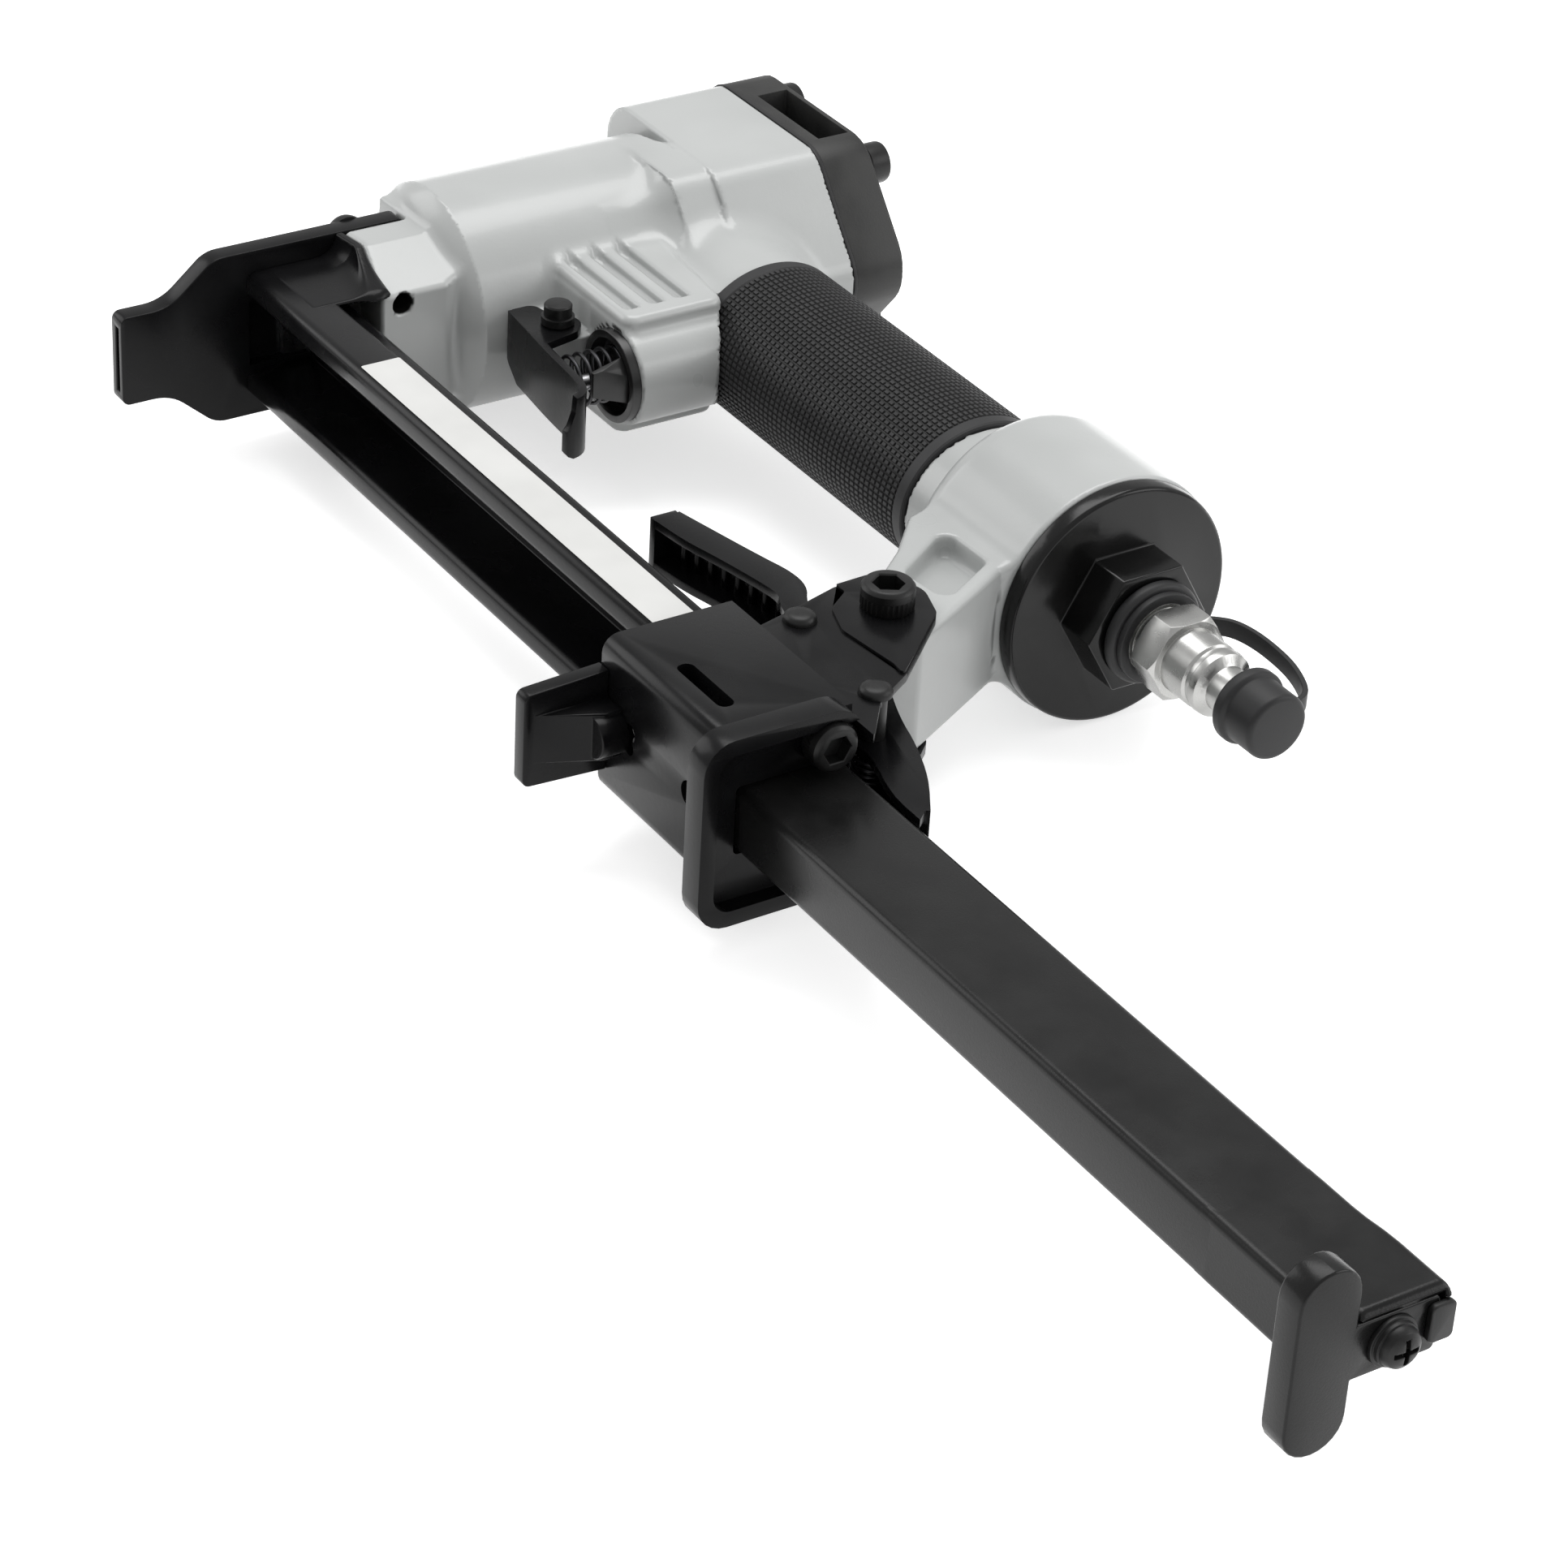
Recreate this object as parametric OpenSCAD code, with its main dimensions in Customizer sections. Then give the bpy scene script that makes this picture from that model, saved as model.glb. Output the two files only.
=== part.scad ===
// Pneumatic upholstery stapler for fine wire staples, lying on its side with the magazine slide drawn out.
// X runs from the barrel towards the air inlet, Y from the nose tip towards the cylinder cap, Z is up.
// The origin is on the nose tip face, on the wall behind the staple slot and the plane of symmetry.

/* [Nose] */
// Width of the narrow nose tip
tip_w = 17.6; // [15:0.2:22]
// Length of the narrow nose tip
tip_len = 9.5; // [6:0.5:14]
// Full width of the nose plate
nose_w = 33.2; // [30:0.2:38]
// Thickness of the nose plate
nose_t = 4; // [3.6:0.1:5]
// Length of the nose plate
nose_len = 57.4; // [56:0.1:58]
// Distance from the barrel axis to the front of the nose plate
nose_front = 5.5; // [5:0.1:6]

/* [Driver] */
// Width of the driver blade, as wide as a staple crown
blade_w = 12.8; // [11:0.1:13.4]
// Thickness of the driver blade
blade_t = 1.2; // [1:0.05:1.4]
// Travel of the piston and blade
stroke = 32; // [24:1:34]
// Bore of the cylinder sleeve
bore_d = 27; // [24:0.5:28]
// Wall of the cylinder sleeve
sleeve_wall = 1.6; // [1.2:0.1:2]

/* [Barrel and head] */
// Outer diameter of the barrel
barrel_d = 43.4; // [41:0.2:46]
// Start of the barrel above the nose
barrel_y = 57.8; // [57.6:0.1:60]
// Start of the square head
head_y = 104; // [98:1:108]
// End of the head, where the gasket lies
head_end = 135; // [133:0.5:138]
// Half thickness of the head across the flat sides
head_hz = 22; // [21.8:0.1:23]
// Thickness of the head gasket
gasket_t = 0.8; // [0.5:0.1:1.5]
// Thickness of the cylinder cap
cap_t = 11.4; // [10:0.2:13]

/* [Handle] */
// Distance of the handle axis from the nose tip
handle_y = 110; // [109:0.5:111]
// Half height of the grip along the barrel direction
grip_ry = 16.4; // [15.4:0.1:17]
// Half thickness of the grip across
grip_rz = 14.6; // [13.8:0.1:15.4]
// Wall of the rubber grip sleeve
grip_wall = 2.2; // [1.8:0.1:2.6]
// Start of the grip sleeve
grip_x = 41; // [40:0.5:42]
// Length of the grip sleeve
grip_len = 70; // [64:1:72]
// Diameter of the rear cup and its end cap
cup_d = 45; // [43:0.5:47]
// End of the rear cup
cup_end = 149.3; // [144:0.1:151]
// Diameter of the air chamber inside the handle
air_d = 20; // [16:0.5:20]

/* [Inlet] */
// Thickness of the end cap rim
endcap_t = 3.4; // [3:0.1:5]
// Width across flats of the moulded hexagon on the end cap
boss_af = 21; // [20:0.5:26]
// Height of the moulded hexagon
boss_h = 8.2; // [6:0.1:9]
// Width across flats of the nipple's hexagon
nip_af = 14; // [13:0.5:15]
// Length of the nipple's hexagon
nip_hex = 6; // [5:0.5:8]
// Diameter of the nipple's thread in the end cap
thread_d = 13; // [11:0.1:13.4]
// Diameter of the nipple's plug end
nip_d = 10; // [9.6:0.1:11]
// Length of the nipple's plug end past the hexagon
nip_len = 23; // [22:0.5:26]
// Outer diameter of the dust cap
dust_d = 13.4; // [13:0.1:16]
// Length of the dust cap
dust_len = 9.4; // [9:0.1:14]

/* [Trigger] */
// Trigger pivot along the handle
trig_x = 31; // [30.4:0.1:31.6]
// Trigger pivot along the barrel
trig_y = 71.4; // [71:0.1:72]
// Trigger pin diameter
trig_pin_d = 4; // [3.5:0.1:4.4]
// Width of the trigger over its cheeks
trig_w = 13; // [12.4:0.2:14]
// Sheet thickness of the trigger
trig_t = 1.5; // [1.2:0.1:1.8]
// Valve axis along the handle
valve_x = 42.4; // [42:0.1:44]
// Face of the valve boss
valve_y = 77.4; // [77:0.2:79]
// Diameter of the valve housing
valve_d = 17.4; // [16:0.2:18]
// Diameter of the valve stem
stem_d = 3; // [2.4:0.1:3.4]

/* [Magazine] */
// Inner width of the magazine channel
mag_in = 15; // [14.4:0.1:16]
// Width over the thick lips
mag_out = 25; // [24:0.2:26]
// Mouth of the channel, seen from the nose tip
mag_y = 25; // [24.5:0.1:25.5]
// Height of the thick lips
lip_h = 9.4; // [8:0.2:10]
// Inside back of the channel
mag_back = 38.2; // [38:0.1:39]
// Sheet of the channel back
mag_sheet = 1.5; // [1.2:0.1:1.8]
// End of the magazine channel
mag_end = 167; // [164:0.5:168]

/* [Magazine slide] */
// Width of the slide tube
rail_w = 11.8; // [11:0.1:12.6]
// Height of the slide tube
rail_h = 19.4; // [19:0.1:19.8]
// Underside of the slide tube
rail_y = 17.9; // [17.7:0.1:18.3]
// Wall of the slide tube
rail_wall = 1.2; // [1:0.1:1.5]
// Front end of the slide when drawn out
rail_x = 141.5; // [140:0.5:144]
// Length of the slide tube
rail_len = 186.8; // [176:0.1:190]
// Travel of the magazine slide
slide_travel = 139; // [120:1:140]
// Thickness of the pull tab
tab_t = 5; // [4:0.5:6]
// Overall length of the pull tab bar
tab_l = 31.4; // [28:0.2:36]
// Width of the pull tab bar
tab_w = 10.6; // [9:0.2:12]

/* [Rear bracket] */
// Start of the rear bracket
brk_x = 141.4; // [141:0.1:143]
// Sheet of the rear bracket
brk_t = 1.5; // [1.2:0.1:1.8]
// Outer face of the bracket that the foot stands on
brk_y = 15.4; // [15:0.1:15.8]
// Front face of the collar plate
collar_x = 177; // [176:0.5:178]
// Sheet of the collar plate
collar_t = 1.8; // [1.5:0.1:2.2]
// Depth of the rolled rim on the collar
rim_d = 3; // [1.6:0.1:3.6]
// Width of the collar plate
collar_w = 34.4; // [32:0.2:36]
// Height of the collar plate
collar_h = 29; // [28:0.5:30]

/* [Latch] */
// Sheet of the latch side plates
plate_t = 1.5; // [1.2:0.1:1.8]
// Width of the latch lever
lever_w = 9.8; // [9:0.1:13]
// Sheet of the latch lever
lever_t = 1.6; // [1.2:0.1:2]
// Diameter of the latch rivets
rivet_d = 4; // [3:0.1:4.6]
// Diameter of the cross bolt
bolt_d = 6; // [5:0.1:6]

/* [Foot] */
// Width of the foot tip
foot_w = 17; // [15:0.2:18]
// Thickness of the foot plate
foot_t = 3; // [2.4:0.1:3.4]

/* [Fits] */
// Radial clearance of pins in their holes
pin_gap = 0.05; // [0.02:0.01:0.1]
// Gap between sliding sheets
slip = 0.3; // [0.25:0.05:0.35]

/* [Hidden] */
$fn = 48;

blade_gap = 0.05;
sleeve_d = bore_d + 2 * sleeve_wall;
bumper_h = 14;
bore_y = barrel_y + 9;
piston_h = 12;
piston_y = bore_y + bumper_h + 1 + stroke;
blade_x = -nose_front + 1.55;
blade_y = stroke + 1;
cap_y = head_end + gasket_t;
cap_end = cap_y + cap_t;
rib_n = 3;
valve_top = handle_y - grip_ry - 1.4;
neck_ry = grip_ry - grip_wall;
neck_rz = grip_rz - grip_wall;
grip_end = grip_x + grip_len;
cup_x = 120;
boss_x = cup_end + endcap_t;
nip_x = boss_x + boss_h + 5.6;
ring_x = boss_x + boss_h + 2.5;
hex_end = nip_x + nip_hex;
nip_end = hex_end + nip_len;
dust_x = nip_end + 1.2 - dust_len;
lip_y = mag_y + lip_h;
back_hw = mag_in / 2 + mag_sheet;
nose_hw = nose_w / 2;
nose_screw_y = nose_len - 9.6;
nose_back = -nose_front + nose_t;
foot_x = brk_x - 0.6;
brk_in = mag_out / 2 + slip;
brk_out = brk_in + brk_t;
plate_in = brk_in - plate_t;
bolt_x = brk_x + 11.6;
bolt_y = brk_y + 46.6;
pivot_x = brk_x + 32.6;
pivot_y = brk_y + 30.6;
rivet_x = brk_x + 8.1;
rivet_y = brk_y + 32.1;
tab_x = rail_x + rail_len - tab_t;
rail_end = rail_x + rail_len;
tab_screw_y = rail_y + 10.3;
rail_top = rail_y + rail_h;
rail_gap = 0.35;
flare_h = 0.7;

// The barrel axis lies this far behind the origin, which is on the wall behind the staple slot
axis_x = -(blade_x + blade_t + blade_gap + nose_back) / 2;

function unit(v) = v / norm(v);
function corner(a, p, b, r, n) = r < 0.01 ? [p] : let(
  u = unit(a - p), w = unit(b - p), t = acos(u * w), c = p + unit(u + w) * r / sin(t / 2),
  s = p + u * r / tan(t / 2) - c, e = p + w * r / tan(t / 2) - c,
  q = atan2(s[1], s[0]), d = (atan2(e[1], e[0]) - q + 540) % 360 - 180)
  [for (i = [0:n]) c + r * [cos(q + d * i / n), sin(q + d * i / n)]];
function rounded(p, r, n = 6) = [for (i = [0:len(p) - 1])
  each corner(p[(i + len(p) - 1) % len(p)], p[i], p[(i + 1) % len(p)], is_list(r) ? r[i] : r, n)];
function oval(ry, rz, yc, n = 48) = [for (i = [0:n - 1]) [yc + ry * cos(360 * i / n), rz * sin(360 * i / n)]];
function shifted(p, dx, dy) = [for (q = p) [q[0] + dx, q[1] + dy]];
function box2(x0, x1, y0, y1) = [[x0, y0], [x1, y0], [x1, y1], [x0, y1]];

module placed() translate([axis_x, 0, 0]) children();
module along_z(z0, z1, p) translate([0, 0, z0]) linear_extrude(z1 - z0) polygon(p);
module along_y(y0, y1, p) translate([0, y1, 0]) rotate([90, 0, 0]) linear_extrude(y1 - y0) polygon(p);
module along_x(x0, x1, p) translate([x0, 0, 0]) rotate([90, 0, 90]) linear_extrude(x1 - x0) polygon(p);
module rod_x(y, z, d, x0, x1) translate([x0, y, z]) rotate([0, 90, 0]) cylinder(d = d, h = x1 - x0);
module rod_y(x, z, d, y0, y1) translate([x, y1, z]) rotate([90, 0, 0]) cylinder(d = d, h = y1 - y0);
module rod_z(x, y, d, z0, z1) translate([x, y, z0]) cylinder(d = d, h = z1 - z0);
module turned_x(y, z, p) translate([0, y, z]) rotate([0, 90, 0]) rotate_extrude() polygon(p);
module turned_y(x, z, p) translate([x, 0, z]) rotate([-90, 0, 0]) rotate_extrude() polygon(p);
module both() {
  children();
  mirror([0, 0, 1]) children();
}
module hex_x(y, z, af, x0, x1) translate([x0, y, z]) rotate([0, 90, 0]) rotate([0, 0, 30])
  cylinder(d = af / cos(30), h = x1 - x0, $fn = 6);

// Outline of the head, gasket and cap across the barrel, drawn in by g
function head_outline(g) = rounded([[-21.6 + g, -head_hz + g], [17 - g, -head_hz + g], [35.4 - g * 1.5, 0],
  [17 - g, head_hz - g], [-21.6 + g, head_hz - g]], [7, 8, 8, 8, 7]);
screw_spots = [[-15, 15.4], [15, 15.4], [-15, -15.4], [15, -15.4]];

module barrel_form() turned_y(0, 0, [for (q = concat([[0, barrel_y], [13.5, barrel_y]],
  [for (i = [1:6]) [13.5 + (barrel_d / 2 - 13.5) * sin(i * 15), barrel_y + 9.5 * (1 - cos(i * 15))]],
  [[barrel_d / 2, head_y + 2], [0, head_y + 2]])) q]);

module nose_block() intersection() {
  along_z(-nose_hw, nose_hw, rounded([[nose_back, 44.8], [4, 45.6], [17.5, 42.6], [17.5, 56], [11, 66],
    [-12, 66], [-12, nose_len + 0.1], [nose_back, nose_len + 0.1]], [0, 6, 1.5, 5, 3, 4, 1, 0]));
  along_y(40, 70, [[-13, -nose_hw], [5.5, -nose_hw], [17.4, -10.8], [17.4, 10.8], [5.5, nose_hw], [-13, nose_hw]]);
}

module head_form() {
  along_y(head_y, head_y + 8, head_outline(1.6));
  along_y(head_y + 7.9, head_y + 9.2, head_outline(0.7));
  along_y(head_y + 9.1, head_end, head_outline(0));
}

module valve_boss() {
  rod_y(valve_x, 0, valve_d + 1.6, valve_y, handle_y - 6);
  along_y(valve_y, handle_y - 8, box2(8, valve_x, -valve_d / 2 - 0.8, valve_d / 2 + 0.8));
  along_z(0, 12.2, rounded([[12, valve_y - 6], [valve_x - 9, valve_y - 4], [valve_x - 7, valve_y],
    [valve_x + 3, valve_y], [valve_x + 3, handle_y - 8], [12, handle_y - 6]], [0, 1, 1, 3, 3, 0]));
  along_z(-12.2, 0, rounded([[12, valve_y - 4], [valve_x - 7, valve_y], [valve_x + 1, valve_y],
    [valve_x + 1, handle_y - 8], [12, handle_y - 6]], [0, 1, 3, 3, 0]));
}

module trigger_lug() along_z(-trig_w / 2 + trig_t + slip, trig_w / 2 - trig_t - slip,
  rounded([[10, trig_y - 3.9], [trig_x + 4, trig_y - 3.9], [trig_x + 4, trig_y + 3], [valve_x - 9, valve_y + 2],
    [10, valve_y + 2]], [0, 3.5, 2, 0, 0]));

module neck_form() {
  along_x(8, grip_x, oval(grip_ry - 0.6, grip_rz - 0.8, handle_y));
  along_x(grip_x - 0.1, cup_x + 2, oval(neck_ry, neck_rz, handle_y));
  along_x(grip_end, cup_x + 2, oval(grip_ry - 0.8, grip_rz - 0.8, handle_y));
}

module cup_form() turned_x(handle_y, 0, concat([[0, cup_x - 4], [13, cup_x - 4]],
  [for (i = [0:6]) [cup_d / 2 - 6 + 6 * sin(i * 15), cup_x + 6 - 6 * cos(i * 15)]], [[cup_d / 2, cup_end], [0, cup_end]]));

web_hz = plate_in - 0.1;
module web_arm() difference() {
  along_z(-web_hz, web_hz, rounded([[122, 98], [126.5, 84], [135, 76], [bolt_x - 7.5, bolt_y + 1],
    [bolt_x - 5, bolt_y - 4.2], [bolt_x + 7, bolt_y - 4.2], [bolt_x + 8, bolt_y + 2], [cup_end - 0.6, handle_y - cup_d / 2],
    [cup_end - 0.6, handle_y - 12]], [0, 8, 6, 2, 1.5, 1.5, 2, 0, 0]));
  along_z(web_hz - 2.4, web_hz + 1, rounded([[133.5, 84], [140.5, 73], [151, 75.6], [144, 85]], 1.5));
  along_z(-web_hz - 1, -web_hz + 2.4, rounded([[133.5, 84], [140.5, 73], [151, 75.6], [144, 85]], 1.5));
  rod_z(bolt_x, bolt_y, bolt_d + 2 * pin_gap, -20, 20);
}

module body_casting() color("silver") difference() {
  union() {
    barrel_form();
    nose_block();
    head_form();
    valve_boss();
    trigger_lug();
    neck_form();
    cup_form();
    web_arm();
  }
  // Cylinder bore, with the blade slot below it
  rod_y(0, 0, sleeve_d + 2 * pin_gap, bore_y, head_end + 1);
  along_y(40, bore_y + 1, box2(blade_x - blade_gap, blade_x + blade_t + blade_gap,
    -blade_w / 2 - blade_gap, blade_w / 2 + blade_gap));
  // Seat for the nose plate
  along_z(-40, 40, box2(-30, nose_back, 30, nose_len + 0.1));
  // Room for the grip sleeve
  grip_sleeve();
  // Air chamber in the handle, the valve bore and the passage between them
  rod_x(handle_y, 0, air_d, valve_x, cup_end + 1);
  rod_y(valve_x, 0, valve_d + 2 * pin_gap, valve_y - 1, valve_top);
  rod_y(valve_x - 5, 0, 6, valve_top - 1, handle_y);
  rod_y(valve_x, 0, valve_d + 0.6, valve_y - 2.1, valve_y);
  rod_y(valve_x, 0, valve_d - 2.8, valve_y - 12, valve_y);
  // Pivot hole of the trigger, and room for its cheeks and the pin's heads
  both() rod_z(trig_x, trig_y, 11.4, trig_w / 2 - trig_t - slip, 20);
  rod_z(trig_x, trig_y, trig_pin_d + 2 * pin_gap, -20, 20);
  // Ribbed pad beside the valve boss
  for (i = [0:rib_n - 1]) along_z(10.6, 14, rounded(box2(21, valve_x - 1, valve_y + 1.6 + i * 5.4,
    valve_y + 4.4 + i * 5.4), 1.2));
  // Cross hole in the nose block, and the tapped holes
  rod_x(49, 9.6, 3.6, 6, 30);
  both() rod_x(nose_screw_y, 13.2, 4.1, nose_back - 1, 10);
  for (s = screw_spots) rod_y(s[0], s[1], 5.1, head_end - 14, head_end + 1);
}

module cylinder_cap() color("dimgray") difference() {
  union() {
    along_y(cap_y, cap_end - 1.2, head_outline(0.1));
    along_y(cap_end - 1.3, cap_end, head_outline(1.2));
  }
  // Exhaust port on the upper flat side, and the chamber that feeds it
  along_y(cap_y + 2.6, cap_end - 2.2, rounded(box2(-8.8, 13, 10, 30), 1.6));
  rod_y(0, 0, 24, cap_y - 1, cap_end - 2.2);
  for (s = screw_spots) rod_y(s[0], s[1], 5.3, cap_y - 1, cap_end + 1);
}

module cap_gasket() color("black") difference() {
  along_y(head_end, cap_y, head_outline(0));
  rod_y(0, 0, sleeve_d - 1, head_end - 1, cap_y + 1);
  for (s = screw_spots) rod_y(s[0], s[1], 5.3, head_end - 1, cap_y + 1);
}

module cap_screws() color("gray") for (s = screw_spots) difference() {
  union() {
    rod_y(s[0], s[1], 5, head_end - 12, cap_end + 0.1);
    rod_y(s[0], s[1], 8, cap_end, cap_end + 4.4);
  }
  translate([s[0], cap_end + 6, s[1]]) rotate([90, 0, 0]) cylinder(d = 4.62, h = 4, $fn = 6);
}

module cylinder_sleeve() color("goldenrod") difference() {
  rod_y(0, 0, sleeve_d, bore_y, head_end - 0.2);
  rod_y(0, 0, bore_d, bore_y - 1, head_end + 1);
}

module bumper() color("saddlebrown") difference() {
  rod_y(0, 0, bore_d - 0.2, bore_y, bore_y + bumper_h);
  along_y(bore_y - 1, bore_y + bumper_h + 1, box2(blade_x - 0.4, blade_x + blade_t + 0.4,
    -blade_w / 2 - 0.4, blade_w / 2 + 0.4));
}

module piston() color("silver") difference() {
  rod_y(0, 0, bore_d - 0.3, piston_y, piston_y + piston_h);
  rod_y(0, 0, bore_d - 10, piston_y + piston_h - 5, piston_y + piston_h + 1);
  turned_y(0, 0, [[bore_d / 2 - 2.2, piston_y + 5], [bore_d, piston_y + 5], [bore_d, piston_y + 7.6],
    [bore_d / 2 - 2.2, piston_y + 7.6]]);
  along_y(piston_y - 1, piston_y + 4, box2(blade_x, blade_x + blade_t, -blade_w / 2, blade_w / 2));
}

module piston_ring() color("black") turned_y(0, 0, [[bore_d / 2 - 2.2, piston_y + 5], [bore_d / 2 - 0.05, piston_y + 5],
  [bore_d / 2 - 0.05, piston_y + 7.6], [bore_d / 2 - 2.2, piston_y + 7.6]]);

module driver_blade() color("lightsteelblue") along_y(blade_y, piston_y + 4,
  box2(blade_x, blade_x + blade_t, -blade_w / 2, blade_w / 2));

module grip_sleeve() color("black") difference() {
  along_x(grip_x, grip_end, oval(grip_ry, grip_rz, handle_y));
  along_x(grip_x - 1, grip_end + 1, oval(neck_ry, neck_rz, handle_y));
}

module end_cap() color("dimgray") difference() {
  union() {
    turned_x(handle_y, 0, [[0, cup_end], [cup_d / 2 - 0.3, cup_end], [cup_d / 2 - 0.5, boss_x - 0.5],
      [cup_d / 2 - 1, boss_x], [0, boss_x]]);
    rod_x(handle_y, 0, air_d - 0.4, cup_end - 12, cup_end + 0.1);
    hex_x(handle_y, 0, boss_af, boss_x - 0.1, boss_x + boss_h);
  }
  rod_x(handle_y, 0, thread_d + 0.1, cup_end - 13, boss_x + boss_h + 1);
}

module end_cap_ring() color("black") turned_x(handle_y, 0, [[thread_d / 2 + 0.05, boss_x + boss_h], [8.8, boss_x + boss_h],
  [9.4, boss_x + boss_h + 0.6], [9.4, ring_x - 0.7], [8.9, ring_x], [thread_d / 2 + 0.05, ring_x]]);

module air_nipple() color("gainsboro") difference() {
  union() {
    rod_x(handle_y, 0, thread_d, cup_end - 6, ring_x + 1.2);
    rod_x(handle_y, 0, thread_d - 1.4, ring_x + 1.1, nip_x + 0.1);
    // Hexagon with its corners turned off at both ends
    intersection() {
      hex_x(handle_y, 0, nip_af, nip_x, hex_end);
      turned_x(handle_y, 0, [[0, nip_x - 1], [nip_af / 2, nip_x - 0.1], [nip_af / 2 + 1.4, nip_x + 1],
        [nip_af / 2 + 1.4, hex_end - 1], [nip_af / 2, hex_end + 0.1], [0, hex_end + 1]]);
    }
    turned_x(handle_y, 0, [[0, hex_end - 0.1], [5.95, hex_end - 0.1], [5.95, hex_end + 5.8], [5.5, hex_end + 6.2],
      [5.5, hex_end + 7.2], [5.95, hex_end + 7.6], [5.8, hex_end + 9], [4.1, hex_end + 10], [4.1, hex_end + 15],
      [nip_d / 2, hex_end + 16.2], [nip_d / 2, nip_end - 1.4], [nip_d / 2 - 1.2, nip_end], [0, nip_end]]);
  }
  rod_x(handle_y, 0, 5.6, cup_end - 7, nip_end + 1);
}

module dust_cap() color("black") difference() {
  turned_x(handle_y, 0, concat([[0, dust_x], [dust_d / 2 - 0.5, dust_x], [dust_d / 2, dust_x + 0.6],
    [dust_d / 2, dust_x + 2.2], [dust_d / 2 - 0.5, dust_x + 2.7], [dust_d / 2 - 0.75, dust_x + 2.8]],
    [for (i = [0:4]) [dust_d / 2 - 1.75 + cos(i * 22.5), dust_x + dust_len - 1 + sin(i * 22.5)]],
    [[0, dust_x + dust_len]]));
  turned_x(handle_y, 0, [[0, dust_x - 1], [nip_d / 2 + 0.1, dust_x - 1], [nip_d / 2 + 0.1, nip_end + 0.2],
    [0, nip_end + 0.2]]);
}

// Strap of the dust cap: its ring round the nipple's neck, and the flat loop that arches from it to the cap
strap_w = 3.2;
strap_t = 1;
strap_ring_r = 8.3;
strap_x0 = ring_x + 0.7;
strap_path = [[strap_x0, handle_y + strap_ring_r + slip], [strap_x0 + 1.2, handle_y + 10.6],
  [strap_x0 + 3.6, handle_y + 13], [strap_x0 + 8.5, handle_y + 14], [strap_x0 + 15, handle_y + 13.8],
  [dust_x - 3, handle_y + 12.9], [dust_x + 2.6, handle_y + 10.7], [dust_x + 5, handle_y + 8.6], [dust_x + 5.6, handle_y + 5.6]];
module cap_strap() color("black") difference() {
  along_z(-strap_w / 2, strap_w / 2, strip(smooth(strap_path, 2), strap_t));
  rod_x(handle_y, 0, dust_d - 1.5, dust_x + 3, dust_x + dust_len);
}

module strap_ring() color("black") difference() {
  rod_x(handle_y, 0, 2 * strap_ring_r, ring_x, ring_x + 1.4);
  rod_x(handle_y, 0, thread_d + 0.1, ring_x - 1, ring_x + 2);
}

// Side outline of the trigger web: two sheets' faces from the pivot cheek to the curled finger end
web_path = shifted([[-8.4, -4.8], [-4.2, -5.2], [9.2, -6.8], [19.5, -7.5], [23.8, -8.4], [25.9, -10.6], [26.3, -13.6]], trig_x, trig_y);
function normals(p) = [for (i = [0:len(p) - 1]) let(d = unit(p[min(i + 1, len(p) - 1)] - p[max(i - 1, 0)])) [-d[1], d[0]]];
function strip(p, t) = let(n = normals(p)) concat([for (i = [0:len(p) - 1]) p[i] - n[i] * t / 2],
  [for (i = [len(p) - 1:-1:0]) p[i] + n[i] * t / 2]);
function smooth(p, k) = k == 0 ? p : smooth([for (i = [0:len(p) - 2]) each
  (i == 0 ? [p[0], p[0] * 0.25 + p[1] * 0.75] : i == len(p) - 2 ? [p[i] * 0.75 + p[i + 1] * 0.25, p[i + 1]]
  : [p[i] * 0.75 + p[i + 1] * 0.25, p[i] * 0.25 + p[i + 1] * 0.75])], k - 1);

trigger_cheek = shifted([[-8.6, -5.2], [5.6, -6.9], [6, -5.6], [4.4, 1.6], [1.6, 4.4], [-3.4, 3.4], [-5, 0.4],
  [-8.6, -0.2]], trig_x, trig_y);
module trigger() color("black") difference() {
  union() {
    along_z(-trig_w / 2, trig_w / 2, strip(smooth(web_path, 2), trig_t));
    both() along_z(trig_w / 2 - trig_t, trig_w / 2, rounded(trigger_cheek, [1, 0, 1, 3.4, 3.4, 2, 2, 2]));
  }
  rod_z(trig_x, trig_y, trig_pin_d + 2 * pin_gap, -20, 20);
  // Rounded end of the finger curl, and the corner taken off at the barrel's side
  along_x(trig_x + 22, trig_x + 32, [[trig_y - 22, 8], [trig_y - 11.4, 8], [trig_y - 11.8, 3.6], [trig_y - 12.8, 1],
    [trig_y - 14.6, -0.6], [trig_y - 22, -0.6]]);
  along_x(trig_x + 22, trig_x + 32, [[trig_y - 22, -8], [trig_y - 4, -8], [trig_y - 4, -5.4], [trig_y - 12, -5.4],
    [trig_y - 13.2, -4.7], [trig_y - 14.2, -3.2], [trig_y - 22, -3.2]]);
  along_y(trig_y - 9, trig_y - 1, [[trig_x - 11, -9], [trig_x - 3, -9], [trig_x - 4, -6.5], [trig_x - 7.8, -4],
    [trig_x - 9, -2.4], [trig_x - 11, -2.4]]);
}

module trigger_pin() color("dimgray") {
  rod_z(trig_x, trig_y, trig_pin_d, -trig_w / 2 - slip - 1, trig_w / 2 + slip + 0.1);
  rod_z(trig_x, trig_y, trig_pin_d + 2.1, trig_w / 2 + slip, trig_w / 2 + slip + 1.5);
  rod_z(trig_x, trig_y, trig_pin_d + 1.2, trig_w / 2 + slip + 1.4, trig_w / 2 + slip + 3.9);
  rod_z(trig_x, trig_y, trig_pin_d + 1.6, -trig_w / 2 - slip - 1.6, -trig_w / 2 - slip);
}

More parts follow.
